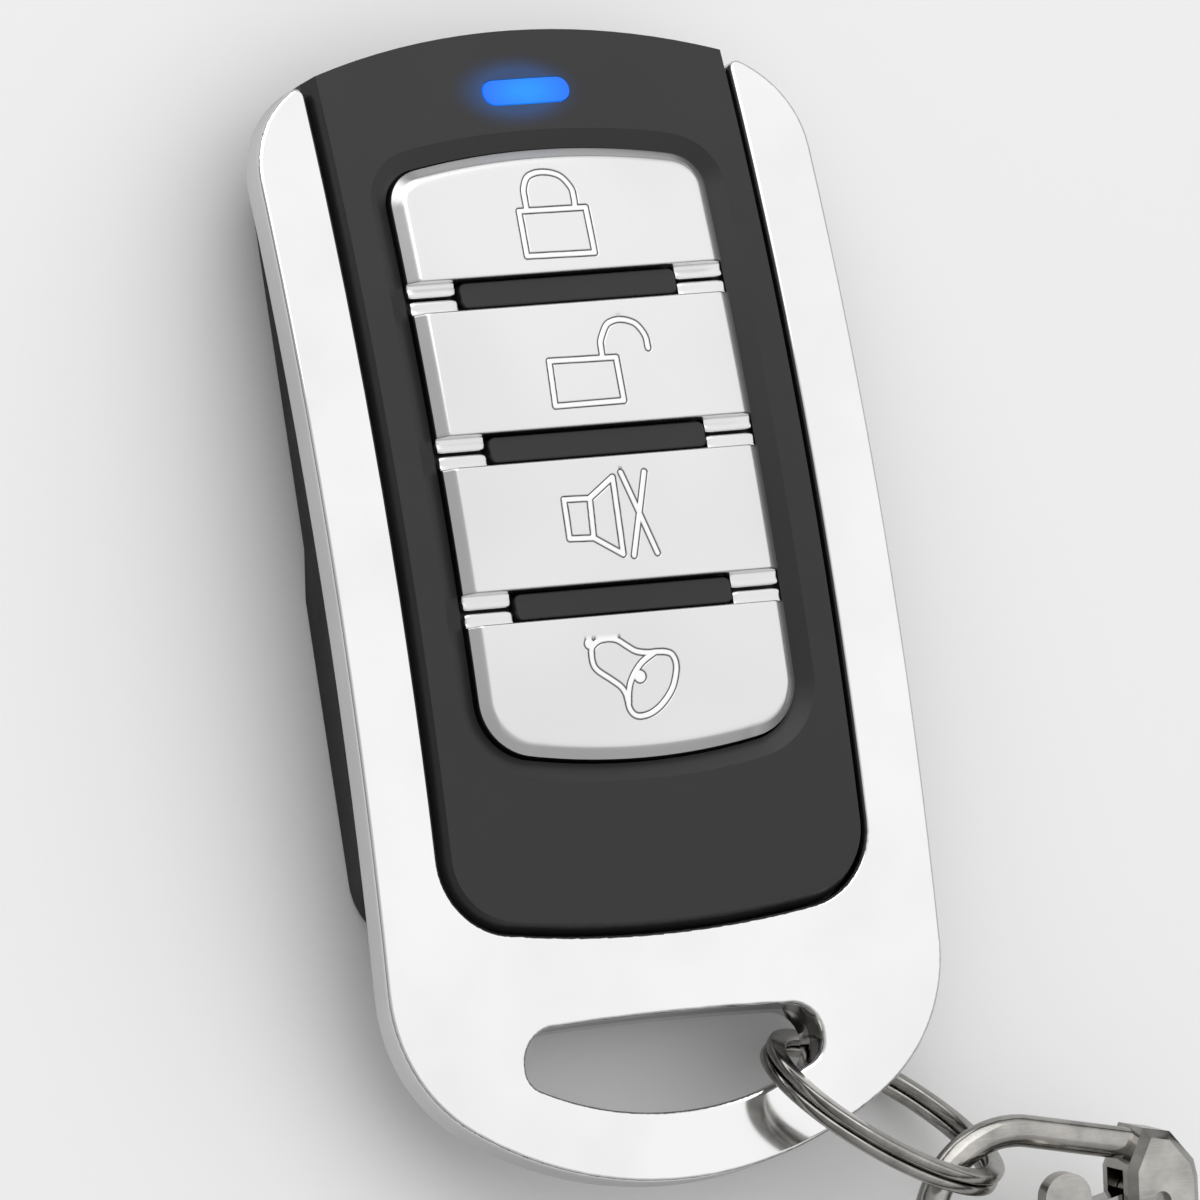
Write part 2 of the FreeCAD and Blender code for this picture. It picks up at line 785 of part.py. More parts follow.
POSTS = [(side, along) for side in ("post_side", "-post_side") for along in ("post_low", "post_high")]
board_posts = [board_post(n, *spot) for n, spot in enumerate(POSTS)]
rear_bosses = [rear_boss(n, spot, back) for n, (spot, back) in enumerate(SCREWS)]
RIB_INNER = "(cell_radius + fit_gap)"
RIB_SPAN = ("rear_wall / 2", "rear_wall + cell_rib_height")
cell_ring = cut(
    "cell_ring",
    rod("cell_ring_outer", f"{RIB_INNER} + cell_rib", "0", "cell_place", RIB_SPAN),
    rod("cell_ring_inner", RIB_INNER, "0", "cell_place", ("0", TALL)),
    box("cell_ring_gap", ("-clip_half_width * 2", "clip_half_width * 2"), ("cell_place", FAR), ("0", TALL)),
)
rear_fittings = common(
    "rear_fittings",
    fuse("rear_ribs", cell_ring, *rear_bosses, *board_posts),
    rear_blank,
)
head_bores = []
for number, ((x, y), back) in enumerate(SCREWS):
    seat = screw_seat(back)
    head_bores.append(rod(f"head_bore_{number}", "screw_head_radius + fit_gap", x, y, (f"{back} - 1", seat)))
    head_bores.append(rod(f"shank_bore_{number}", "screw_radius + fit_gap", x, y, (seat, TALL)))
rear_body = fuse("rear_body", rear_hollow, rear_fittings)
sub_part("rear_shell", cut("rear_bored", rear_body, *head_bores))


def screw(number, spot, back):
    x, y = spot
    seat = screw_seat(back)
    head = rod(f"screw_head_{number}", "screw_head_radius", x, y, (f"{seat} - screw_head_height", seat))
    shank = rod(f"screw_shank_{number}", "screw_radius", x, y, (seat, f"{seat} + screw_length"))
    drive = box(
        f"screw_drive_{number}",
        (f"{x} - screw_head_radius / 2", f"{x} + screw_head_radius / 2"),
        (f"{y} - screw_head_radius / 8", f"{y} + screw_head_radius / 8"),
        (f"{seat} - screw_head_height", f"{seat} - screw_head_height / 2"),
    )
    cross = box(
        f"screw_cross_{number}",
        (f"{x} - screw_head_radius / 8", f"{x} + screw_head_radius / 8"),
        (f"{y} - screw_head_radius / 2", f"{y} + screw_head_radius / 2"),
        (f"{seat} - screw_head_height", f"{seat} - screw_head_height / 2"),
    )
    return cut(f"screw_{number}", fuse(f"screw_blank_{number}", head, shank), drive, cross)


sub_part("case_screws", group("screws", *[screw(n, spot, back) for n, (spot, back) in enumerate(SCREWS)]))

# Coin cell and its contacts
CELL_TOP = f"({CELL_BASE} + cell_thickness)"
CAN_TOP = f"({CELL_TOP} - can_lip_drop)"
CAN_INNER = "(cell_radius - can_wall)"
CAP_RADIUS = f"({CAN_INNER} - gasket_wall)"
CELL_AT = ("0", "cell_place")
can_floor = f"({CELL_BASE} + can_wall)"
sub_part("cell_can", cut(
    "can",
    rod("can_outer", "cell_radius", *CELL_AT, (CELL_BASE, CAN_TOP)),
    rod("can_inner", CAN_INNER, *CELL_AT, (can_floor, TALL)),
))
sub_part("cell_gasket", cut(
    "gasket",
    rod("gasket_outer", CAN_INNER, *CELL_AT, (can_floor, CAN_TOP)),
    rod("gasket_inner", CAP_RADIUS, *CELL_AT, ("0", TALL)),
))
sub_part("cell_cap", rod("cap", CAP_RADIUS, *CELL_AT, (can_floor, CELL_TOP)))
LEAF_X = ("-contact_half_width", "contact_half_width")
LEAF_Y = ("cell_place - contact_half_length", "cell_place + contact_half_length")
sub_part("negative_contact", fuse(
    "negative_spring",
    box("leaf_foot", LEAF_X, LEAF_Y, (f"{BOARD_BASE} - contact_thickness", BOARD_BASE)),
    box("leaf_bend", LEAF_X, (LEAF_Y[0], f"{LEAF_Y[0]} + contact_thickness"), (CELL_TOP, BOARD_BASE)),
    box("leaf_tongue", LEAF_X, (LEAF_Y[0], "cell_place"), (CELL_TOP, f"{CELL_TOP} + contact_thickness")),
))
CLIP_FACE = "(cell_place + cell_radius + seat_gap)"
CLIP_SPAN = ("-clip_half_width", "clip_half_width")
sub_part("positive_clip", fuse(
    "clip",
    box("clip_leaf", CLIP_SPAN, (CLIP_FACE, f"{CLIP_FACE} + contact_thickness"),
        (f"{CELL_BASE} + cell_thickness / 3", BOARD_BASE)),
    box("clip_foot_block", CLIP_SPAN, (CLIP_FACE, f"{CLIP_FACE} + clip_foot"),
        (f"{BOARD_BASE} - contact_thickness", BOARD_BASE)),
))

# Circuit board
BOARD_HALF = f"{BODY_HALF} - shell_wall - board_side_gap"
board_outline = rounded_outline(
    "board_outline",
    BOARD_HALF,
    inset(CASE_TOP, "shell_wall + board_end_gap", 1),
    inset((REAR_END, "rear_end_radius", "opening_corner"), "rear_wall + board_end_gap", -1),
    height=BOARD_BASE,
)
board_notches = [
    rod(f"board_notch_{n}", "rear_boss_radius + fit_gap", x, y, ("0", TALL))
    for n, ((x, y), _) in enumerate(SCREWS)
]
board_blank = extrude("board_blank", board_outline, "board_thickness")
sub_part("circuit_board", cut("board", board_blank, *board_notches))

# Parts soldered under the board, over the higher flat of the back
sub_part("radio_chip", box(
    "chip",
    ("chip_side - chip_width / 2", "chip_side + chip_width / 2"),
    ("chip_place - chip_length / 2", "chip_place + chip_length / 2"),
    (f"{BOARD_BASE} - chip_height", BOARD_BASE),
))
sub_part("resonator_can", rod(
    "resonator", "resonator_radius", "resonator_side", "resonator_place",
    (f"{BOARD_BASE} - resonator_height", BOARD_BASE),
))
ANTENNA_Z = (f"{BOARD_BASE} - antenna_thickness", BOARD_BASE)
sub_part("antenna_loop", fuse(
    "antenna",
    box("antenna_left", ("-antenna_half_width", "antenna_strip - antenna_half_width"),
        ("antenna_low", "antenna_high"), ANTENNA_Z),
    box("antenna_right", ("antenna_half_width - antenna_strip", "antenna_half_width"),
        ("antenna_low", "antenna_high"), ANTENNA_Z),
    box("antenna_across", ("-antenna_half_width", "antenna_half_width"),
        ("antenna_high - antenna_strip", "antenna_high"), ANTENNA_Z),
))


def small_part(number):
    x = f"({number} - 2.5) * small_part_pitch"
    return box(
        f"small_part_{number}",
        (f"{x} - small_part_width / 2", f"{x} + small_part_width / 2"),
        ("small_part_place", "small_part_place + small_part_length"),
        (f"{BOARD_BASE} - small_part_height", BOARD_BASE),
    )


sub_part("board_components", group("components", *[small_part(number) for number in range(6)]))

# Signal light: a diode on the board and the tinted window over it
sub_part("status_led", box(
    "diode",
    ("-diode_width / 2", "diode_width / 2"),
    (f"{LIGHT_PLACE} - diode_length / 2", f"{LIGHT_PLACE} + diode_length / 2"),
    (BOARD_TOP, f"{BOARD_TOP} + diode_height"),
))
LENS_BASE = f"{BOARD_TOP} + diode_height + mat_gap"
lens_block = light_prism("lens_block", "-hole_gap", LENS_BASE)
lens_body = common("lens_body", lens_block, arch("body_rise + light_proud"))
lens_flange = common(
    "lens_flange",
    light_prism("lens_flange_block", "light_flange", LENS_BASE),
    arch(f"{UNDER_TOP} - seat_gap"),
)
sub_part("led_lens", fuse("lens", lens_body, lens_flange))

# Silicone mat: a sheet over the switches with a rim that stands on the board
mat_block = window_prism("mat_block", "mat_margin", BOARD_TOP)
mat_inner = window_prism("mat_inner", "mat_margin - mat_rim", "0")
mat_slice = box("mat_slice", ALL_X, ALL_Y, (BOARD_TOP, MAT_TOP))
mat_pocket = common("mat_pocket", mat_inner, box("mat_pocket_slice", ALL_X, ALL_Y, ("0", MAT_BASE)))
sub_part("keypad_mat", cut("mat", common("mat_blank", mat_block, mat_slice), mat_pocket))

# Keys, each over its own switch. A key lies between two neighbours, given as the bars' places.
KEYS = {
    "lock": (None, BARS[0], f"({BARS[0]} + end_key_offset)"),
    "unlock": (BARS[0], BARS[1], f"({BARS[0]} - bar_pitch / 2)"),
    "mute": (BARS[1], BARS[2], f"({BARS[1]} - bar_pitch / 2)"),
    "bell": (BARS[2], None, f"({BARS[2]} - end_key_offset)"),
}
KEY_BASE = f"({MAT_TOP} + key_skirt_rise)"
BAR_EDGE = "(bar_width / 2 + key_gap)"


def key_cap(name, upper_bar, lower_bar, centre):
    high = f"{upper_bar} - {BAR_EDGE}" if upper_bar else FAR
    low = f"{lower_bar} + {BAR_EDGE}" if lower_bar else f"-{FAR}"
    footprint = common(
        f"{name}_footprint",
        window_prism(f"{name}_prism", "-key_gap", KEY_BASE),
        box(f"{name}_reach", ALL_X, (low, high), ("0", TALL)),
    )
    blank = common(f"{name}_blank", footprint, arch("key_level"))

    def outer_rim(edge):
        spot = middle_of(edge)
        beside_bar = any(
            bar and abs(spot.y - amount(bar)) < amount(BAR_EDGE) + 0.01 for bar in (upper_bar, lower_bar)
        )
        return on_arch(spot, "key_level") and not beside_bar

    bevelled = chamfer(f"{name}_bevelled", blank, outer_rim, amount("key_bevel"), amount("key_bevel_depth"))
    lips = []
    for side, bar, direction in (("upper", upper_bar, -1), ("lower", lower_bar, 1)):
        if not bar:
            continue
        near = f"{bar} + ({direction}) * lip_gap / 2"
        root = f"{bar} + ({direction}) * ({BAR_EDGE} + key_skirt)"
        y_span = (near, root) if direction > 0 else (root, near)
        strip = common(
            f"{name}_{side}_lip_strip",
            window_prism(f"{name}_{side}_lip_prism", "-key_gap", KEY_BASE),
            box(f"{name}_{side}_lip_box", ALL_X, y_span, ("0", TALL)),
            arch("lip_level"),
        )
        bar_half = f"({BAR_HALF} + key_gap)"
        lips.append(cut(
            f"{name}_{side}_lip",
            strip,
            arch("lip_level - lip_thickness"),
            box(f"{name}_{side}_notch", (f"-{bar_half}", bar_half), (f"-{FAR}", FAR), ("0", TALL)),
        ))
    inner_low = f"{low} + key_skirt"
    inner_high = f"{high} - key_skirt"
    hollow = common(
        f"{name}_hollow",
        window_prism(f"{name}_hollow_prism", "-key_gap - key_skirt", "0"),
        box(f"{name}_hollow_reach", ALL_X, (inner_low, inner_high), ("0", TALL)),
        arch("key_level - key_top_wall"),
    )
    post = common(
        f"{name}_post",
        rod(f"{name}_post_rod", "key_post_radius", "0", centre, (MAT_TOP, TALL)),
        arch("key_level - key_top_wall / 2"),
    )
    shell = cut(f"{name}_shell", fuse(f"{name}_lipped", bevelled, *lips), hollow)
    return fuse(f"{name}_key_solid", shell, post)


def key_switch(name, centre):
    half = "switch_size / 2"
    block = box(f"{name}_switch_block", (f"-{half}", half), (f"{centre} - {half}", f"{centre} + {half}"),
                (BOARD_TOP, SWITCH_TOP))
    bore = rod(f"{name}_switch_bore", "plunger_radius + hole_gap", "0", centre,
               (f"{SWITCH_TOP} - switch_height + switch_floor - key_travel", TALL))
    return cut(f"{name}_switch_body", block, bore)


def key_plunger(name, centre):
    span = (f"{BOARD_TOP} + switch_floor", PLUNGER_TOP)
    return rod(f"{name}_plunger_rod", "plunger_radius", "0", centre, span)


for name, (upper_bar, lower_bar, centre) in KEYS.items():
    sub_part(f"{name}_key", key_cap(name, upper_bar, lower_bar, centre))
    sub_part(f"{name}_switch", key_switch(name, centre))
    sub_part(f"{name}_plunger", key_plunger(name, centre))

# Split ring: one flat wire wound twice, with a step where it changes level
def turned_section(radii, levels, angle):
    spin = FreeCAD.Rotation(FreeCAD.Vector(0, 0, 1), angle)
    corners = [(radii[0], levels[0]), (radii[1], levels[0]), (radii[1], levels[1]), (radii[0], levels[1])]
    points = [spin.multVec(FreeCAD.Vector(r, 0, z)) for r, z in corners]
    return Part.makePolygon(points + points[:1])


def ring_shape():
    outer = amount("ring_radius")
    radii = (outer - amount("ring_wall"), outer)
    wire, gap = amount("ring_wire"), amount("ring_turn_gap")
    lower = (-gap / 2 - wire, -gap / 2)
    upper = (gap / 2, gap / 2 + wire)
    half_step, end_gap = amount("ring_step_angle") / 2, amount("ring_end_angle")
    origin, axis = FreeCAD.Vector(), FreeCAD.Vector(0, 0, 1)
    sweep = 360 - 2 * half_step - end_gap
    first = Part.Face(turned_section(radii, lower, half_step + end_gap)).revolve(origin, axis, sweep)
    second = Part.Face(turned_section(radii, upper, half_step)).revolve(origin, axis, sweep)
    sections = []
    for share in (0, 0.25, 0.5, 0.75, 1):
        rise = (1 - math.cos(math.pi * share)) / 2 * (wire + gap)
        levels = (lower[0] + rise, lower[1] + rise)
        sections.append(turned_section(radii, levels, half_step * (2 * share - 1)))
    step = Part.makeLoft(sections, True, False)
    return first.fuse([step, second])


def made(label, shape, pose):
    piece = add("Part::Feature", label + "_shape")
    piece.Shape = shape
    piece.Placement = pose
    return sub_part(label, piece)


turn = FreeCAD.Rotation(amount("ring_yaw_angle"), amount("ring_pitch_angle"), amount("ring_roll_angle"))
along, across, normal = [turn.multVec(FreeCAD.Vector(*unit)) for unit in ((1, 0, 0), (0, 1, 0), (0, 0, 1))]
ring_half = amount("ring_wire + ring_turn_gap / 2")
ring_height = amount("ring_radius") * math.hypot(along.z, across.z) + ring_half * abs(normal.z)
ring_x, ring_y = amount(f"{SLOT_HALF} + ring_side"), amount(f"{SLOT_LOW} - ring_drop")
ring_middle = FreeCAD.Vector(ring_x, ring_y, ring_height + amount("table_gap"))
seam = FreeCAD.Rotation(FreeCAD.Vector(0, 0, 1), amount("ring_seam_angle"))
made("split_ring", ring_shape(), FreeCAD.Placement(ring_middle, turn.multiply(seam)))


# Snap hook. Its rod starts at the tip, rises, rounds the bow and runs down into the body.
def flat(x, y, z=0.0):
    return FreeCAD.Vector(x, y, z)


def on_bow(angle):
    x = amount("bow_side + bow_radius") + amount("bow_radius") * math.cos(math.radians(angle))
    y = amount("bow_middle") + amount("bow_radius") * math.sin(math.radians(angle))
    return flat(x, y)


def plate(points, low, high):
    outline = Part.makePolygon(points + points[:1])
    return Part.Face(outline).extrude(flat(0, 0, high - low)).translated(flat(0, 0, low))


def pillar(radius, spot, low, high):
    return Part.makeCylinder(radius, high - low, flat(spot.x, spot.y, low), flat(0, 0, 1))


lean = math.radians(90 - amount("bow_turn_angle"))
heading = flat(math.cos(lean), -math.sin(lean))
inward = flat(-math.sin(lean), -math.cos(lean))
bow_start, bow_end = on_bow(180), on_bow(amount("bow_turn_angle"))
corner_start = bow_end + heading * amount("bow_run")
corner_middle = corner_start + inward * amount("bow_corner")
corner_end = corner_middle + flat(amount("bow_corner"), 0)
pivot = flat(amount("gate_pivot_x"), amount("gate_pivot_y"))
tip = flat(bow_start.x, amount("bow_tip"))
gate_end = tip + flat(amount("rod_radius + gate_tip_gap + gate_half_width"), amount("gate_tip_inset"))
rod_radius = amount("rod_radius")
spine_right = corner_end.x + rod_radius + amount("hook_margin")
swivel_x = (bow_start.x + corner_end.x) / 2
foot, waist = amount("hook_foot"), amount("hook_waist")
body_half = amount("hook_thickness") / 2
eye_middle = foot - amount("swivel_collar + eye_radius")
head_room = amount("swivel_head_room")
beyond = 1.0  # how far a cutter runs past what it cuts


def hook_rod():
    bow_top = on_bow((180 + amount("bow_turn_angle")) / 2)
    half_turn = (math.pi / 2 - lean) / 2
    corner_top = corner_middle + flat(math.cos(half_turn), math.sin(half_turn)) * amount("bow_corner")
    spine_end = flat(corner_end.x, waist)
    path = Part.Wire([
        Part.makeLine(tip, bow_start),
        Part.Arc(bow_start, bow_top, bow_end).toShape(),
        Part.makeLine(bow_end, corner_start),
        Part.Arc(corner_start, corner_top, corner_end).toShape(),
        Part.makeLine(corner_end, spine_end),
    ])
    section = Part.Wire(Part.makeCircle(rod_radius, tip, flat(0, 1)))
    return path.makePipeShell([section], True, False)


def hook_body():
    edge = amount("gate_eye_radius + gate_room")
    nose = amount("hook_nose")
    nose_side = bow_start.x - rod_radius * 0.4
    foot_half = amount("hook_foot_half")
    crown = inward * -(rod_radius + amount("hook_margin"))
    blank = plate([
        flat(pivot.x - edge, pivot.y + edge),
        corner_start - heading * amount("hook_shoulder") + crown,
        corner_start + crown,
        flat(spine_right - amount("crown_inset"), corner_middle.y + amount("crown_rise")),
        flat(spine_right, corner_middle.y - amount("crown_drop")),
        flat(spine_right, waist),
        flat(swivel_x + foot_half, foot),
        flat(swivel_x - foot_half, foot),
        flat(nose_side, waist - nose),
        flat(nose_side, waist),
        flat(swivel_x, waist + nose),
        flat(pivot.x - edge, pivot.y - edge * 1.3),
    ], -body_half, body_half)
    rims = [line for line in blank.Edges if abs(line.Vertexes[0].Z - line.Vertexes[1].Z) < 0.001]
    solid = blank.makeChamfer(amount("hook_bevel"), rims).fuse(hook_rod())
    slot_half = amount("gate_slot") / 2
    swing = FreeCAD.Rotation(flat(0, 0, 1), -amount("gate_open_angle"))
    reach = (gate_end - pivot) * 0.5
    below = flat(-reach.y, reach.x).normalize() * edge
    gate_room = plate([
        pivot + below,
        pivot + reach + below,
        pivot + swing.multVec(reach) - below,
        pivot - below,
        pivot - flat(-edge, 0),
    ], -slot_half, slot_half)
    gate_room = gate_room.fuse(pillar(edge, pivot, -slot_half, slot_half))
    solid = solid.cut(gate_room)
    pin_bore = pillar(amount("pin_radius"), pivot, -body_half - beyond, body_half + beyond)
    web = amount("swivel_web")
    half_window = amount("swivel_head_radius") + head_room / 2
    window = Part.makeBox(half_window * 2, amount("swivel_head_height") + head_room, body_half * 4)
    window.translate(flat(swivel_x - half_window, foot + web, -body_half * 2))
    neck_low = flat(swivel_x, foot - beyond / 2)
    neck = Part.makeCylinder(amount("swivel_radius + swivel_gap"), web + beyond, neck_low, flat(0, 1))
    return solid.cut([pin_bore, window, neck])


def gate():
    half = amount("gate_half_width")
    upper = amount("gate_thickness") / 2
    reach = gate_end - pivot
    side = flat(-reach.y, reach.x).normalize() * half
    arm = plate([pivot + side, gate_end + side, gate_end - side, pivot - side], -upper, upper)
    eye = pillar(amount("gate_eye_radius"), pivot, -upper, upper)
    toe = pillar(half, gate_end, -upper, upper)
    thumb = flat(amount("thumb_x"), amount("thumb_y"))
    thumb_low, thumb_high = amount("thumb_level"), amount("thumb_level + thumb_height")
    root = pivot + reach * ((pivot.x - thumb.x) / (pivot.x - gate_end.x))
    wide = flat(amount("thumb_radius"), 0)
    knob = pillar(amount("thumb_radius"), thumb, thumb_low, thumb_high)
    pad = plate([thumb + wide, thumb - wide, root - wide, root + wide * 1.4], thumb_low, thumb_high)
    post_corners = [root - wide + side, root + wide + side, root + wide - side, root - wide - side]
    post = plate(post_corners, 0, thumb_high)
    bore = pillar(amount("pin_radius + hole_gap"), pivot, -upper - beyond, upper + beyond)
    pocket_radius = amount("pin_radius + 3 * hole_gap + spring_wall")
    pocket = pillar(pocket_radius, pivot, upper - amount("spring_length"), upper + beyond)
    return arm.fuse([eye, toe, knob, pad, post]).cut([bore, pocket])


def gate_spring():
    top = amount("gate_thickness") / 2
    low = top - amount("spring_length") + amount("hole_gap")
    outer = pillar(amount("pin_radius + 2 * hole_gap + spring_wall"), pivot, low, top)
    return outer.cut(pillar(amount("pin_radius + hole_gap"), pivot, low - beyond, top + beyond))


def swivel():
    up = flat(0, 1)
    head_low = foot + amount("swivel_web") + head_room / 2
    collar_gap = amount("collar_gap")
    head = Part.makeCylinder(amount("swivel_head_radius"), amount("swivel_head_height"),
                             flat(swivel_x, head_low), up)
    stem_low = eye_middle + amount("eye_radius")
    stem_length = head_low + collar_gap - stem_low
    stem = Part.makeCylinder(amount("swivel_radius"), stem_length, flat(swivel_x, stem_low), up)
    collar_height = amount("swivel_collar") - collar_gap
    collar = Part.makeCylinder(amount("swivel_head_radius"), collar_height, flat(swivel_x, stem_low), up)
    eye = Part.makeTorus(amount("eye_radius"), amount("eye_wire"), flat(swivel_x, eye_middle), flat(0, 0, 1))
    return eye.fuse([stem, collar, head])


link_reach = amount("ring_radius - ring_wall - rod_radius - hook_link_gap")
link_spot = ring_middle + along * link_reach
link_point = on_bow(amount("hook_link_angle"))
drop = link_spot.z - amount("eye_wire + table_gap")
hook_tilt = math.degrees(math.asin(drop / (link_point.y - eye_middle + amount("eye_radius"))))
hook_turn = FreeCAD.Rotation(0, 0, hook_tilt)
hook_pose = FreeCAD.Placement(link_spot - hook_turn.multVec(link_point), hook_turn)
made("snap_hook", hook_body(), hook_pose)
made("hook_gate", gate(), hook_pose)
pin_half = body_half - amount("pin_recess")
made("gate_pin", pillar(amount("pin_radius"), pivot, -pin_half, pin_half), hook_pose)
made("gate_spring", gate_spring(), hook_pose)
made("swivel_eye", swivel(), hook_pose)
print("hook tilt", round(hook_tilt, 2))
for label, spot in (("ring", ring_middle), ("link", link_spot),
                    ("wire at link", ring_middle + along * amount("ring_radius - ring_wall / 2")),
                    ("gate pivot", hook_pose.multVec(pivot)),
                    ("swivel", hook_pose.multVec(flat(swivel_x, foot)))):
    print(label, [round(value, 3) for value in spot])
print("ring axes", [[round(value, 4) for value in axis] for axis in (along, across, normal)])

# Checks before anything is written
doc.recompute()
failed = [thing.Label for thing in doc.Objects if {"Invalid", "Error"} & set(thing.State)]
if failed:
    raise RuntimeError("did not compute: " + ", ".join(failed))
for label, solid in nodes.items():
    if solid.Shape.isNull() or not solid.Shape.isValid() or not solid.Shape.Solids:
        raise RuntimeError(f"{label} has no valid shape")

os.makedirs("parts", exist_ok=True)
for label, solid in nodes.items():
    solid.Shape.exportStep(f"parts/{label}.step")
    print(label, "solids", len(solid.Shape.Solids), "volume", round(solid.Shape.Volume, 2))
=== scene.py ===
import json
import math
import bmesh
import bpy
import numpy as np
from mathutils import Matrix, Vector

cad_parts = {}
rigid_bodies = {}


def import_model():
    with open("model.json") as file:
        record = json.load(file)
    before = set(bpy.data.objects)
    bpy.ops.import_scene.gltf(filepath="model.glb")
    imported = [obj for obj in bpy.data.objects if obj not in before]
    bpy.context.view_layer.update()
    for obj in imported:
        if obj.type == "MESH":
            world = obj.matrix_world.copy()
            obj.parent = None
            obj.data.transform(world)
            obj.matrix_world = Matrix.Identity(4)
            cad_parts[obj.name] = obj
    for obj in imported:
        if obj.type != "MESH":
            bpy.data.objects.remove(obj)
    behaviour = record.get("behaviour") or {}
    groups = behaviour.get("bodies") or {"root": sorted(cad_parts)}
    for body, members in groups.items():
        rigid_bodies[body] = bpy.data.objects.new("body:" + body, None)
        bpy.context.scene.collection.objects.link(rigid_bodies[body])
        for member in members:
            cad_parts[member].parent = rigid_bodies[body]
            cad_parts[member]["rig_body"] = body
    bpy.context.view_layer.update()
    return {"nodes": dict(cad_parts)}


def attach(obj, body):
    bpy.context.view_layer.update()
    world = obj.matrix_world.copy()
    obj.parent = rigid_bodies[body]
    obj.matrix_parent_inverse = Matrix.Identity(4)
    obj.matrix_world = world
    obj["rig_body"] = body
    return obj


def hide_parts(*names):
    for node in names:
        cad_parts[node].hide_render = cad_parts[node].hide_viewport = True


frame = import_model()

mm = 0.001
print("frame loaded:", len(frame["nodes"]), "nodes")


# Shader building. A Wire is one socket, and arithmetic on it adds Math nodes.
class Wire:
    def __init__(self, shader, socket):
        self.shader, self.socket = shader, socket

    def math(self, operation, other):
        return self.shader.node("ShaderNodeMath", {"operation": operation}, {0: self, 1: other})

    def __add__(self, other):
        return self.math("ADD", other)

    def __mul__(self, other):
        return self.math("MULTIPLY", other)


class Shader:
    def __init__(self, owner):
        owner.use_nodes = True
        self.tree = owner.node_tree
        self.tree.nodes.clear()

    def node(self, kind, settings, values, out=0):
        made = self.tree.nodes.new(kind)
        for name, value in settings.items():
            if name == "stops":
                for spare in list(made.color_ramp.elements)[1:]:
                    made.color_ramp.elements.remove(spare)
                made.color_ramp.elements[0].position = value[0][0]
                made.color_ramp.elements[0].color = value[0][1]
                for spot, colour in value[1:]:
                    made.color_ramp.elements.new(spot).color = colour
            else:
                setattr(made, name, value)
        for name, value in values.items():
            if isinstance(value, Wire):
                self.tree.links.new(value.socket, made.inputs[name])
            else:
                made.inputs[name].default_value = value
        return Wire(self, made.outputs[out]) if len(made.outputs) else None

    def place(self, stretch=(1, 1, 1), turn=(0, 0, 0)):
        spot = self.node("ShaderNodeTexCoord", {}, {}, "Object")
        return self.node("ShaderNodeMapping", {}, {"Vector": spot, "Rotation": turn, "Scale": stretch})

    # Cloudy pattern from 0 to 1 with blobs of the given size in millimetres
    def cloud(self, size, detail=3.0):
        return self.node("ShaderNodeTexNoise", {}, {
            "Vector": self.place(), "Scale": 1 / (size * mm), "Detail": detail, "Roughness": 0.55})

    # Fine straight scratches along one direction
    def brushed(self, size, along, turn=(0, 0, 0)):
        spot = self.place(tuple(0.04 if axis == along else 1 for axis in range(3)), turn)
        return self.node("ShaderNodeTexNoise", {}, {
            "Vector": spot, "Scale": 1 / (size * mm), "Detail": 4.0, "Roughness": 0.6})

    # Distance from a spot in shares of the given reaches, both in millimetres
    def away(self, middle, reach):
        spot = self.node("ShaderNodeTexCoord", {}, {}, "Object")
        near = self.node("ShaderNodeMapping", {"vector_type": "TEXTURE"}, {
            "Vector": spot, "Location": tuple(v * mm for v in middle), "Scale": tuple(v * mm for v in reach)})
        return self.node("ShaderNodeVectorMath", {"operation": "LENGTH"}, {0: near}, "Value")

    def span(self, value, low, high, newLow=0.0, newHigh=1.0):
        return self.node("ShaderNodeMapRange", {}, {
            0: value, 1: low, 2: high, 3: newLow, 4: newHigh})

    def blend(self, factor, first, second):
        return self.node("ShaderNodeMix", {"data_type": "RGBA"}, {0: factor, 6: first, 7: second}, 2)

    def attribute(self, name):
        return self.node("ShaderNodeAttribute", {"attribute_name": name}, {}, "Fac")

    def bump(self, height, distance):
        return self.node("ShaderNodeBump", {}, {"Height": height, "Distance": distance * mm, "Strength": 1.0})


# A finish is one Principled surface. "vary" gets the shader and gives the sockets that change.
def finish(name, vary, **fixed):
    material = bpy.data.materials.new(name)
    shader = Shader(material)
    values = {key.replace("_", " "): value for key, value in fixed.items()}
    values.update(vary(shader))
    surface = shader.node("ShaderNodeBsdfPrincipled", {}, values)
    shader.node("ShaderNodeOutputMaterial", {}, {"Surface": surface})
    return material


def rgb(red, green, blue):
    return (red, green, blue, 1.0)


# Polished chrome plate: almost a mirror, with a faint haze and hairline wipe marks. Its colour is darkened
# to grey on the walls of the slot, which lie between the face and the underside and inside an oval round the slot:
# painted shade.
def chromeLook(shader):
    haze = shader.cloud(9.0)
    wipe = shader.brushed(0.12, 1, (0, 0, 0.3))
    drum = shader.away((0, 0, -146), (100000, 155, 155))
    slot = shader.span(shader.away((0, -25, 0), (12.4, 3.75, 1000)), 1.0, 0.94)
    # Painted shade: mask of the slot's walls, where the plate's colour turns dark grey
    wall = slot * shader.span(drum, 0.9985, 0.997) * shader.span(drum, 0.9882, 0.9888)
    plate = shader.blend(shader.span(haze, 0.35, 0.65), rgb(0.87, 0.87, 0.88), rgb(0.93, 0.93, 0.93))
    return {
        "Base Color": shader.blend(wall, plate, rgb(0.34, 0.34, 0.35)),
        "Roughness": shader.span(haze, 0.3, 0.7, 0.06, 0.1) + shader.span(wipe, 0.55, 0.8, 0.0, 0.04),
        "Normal": shader.bump(shader.cloud(6.0, 1.0), 0.004),
    }
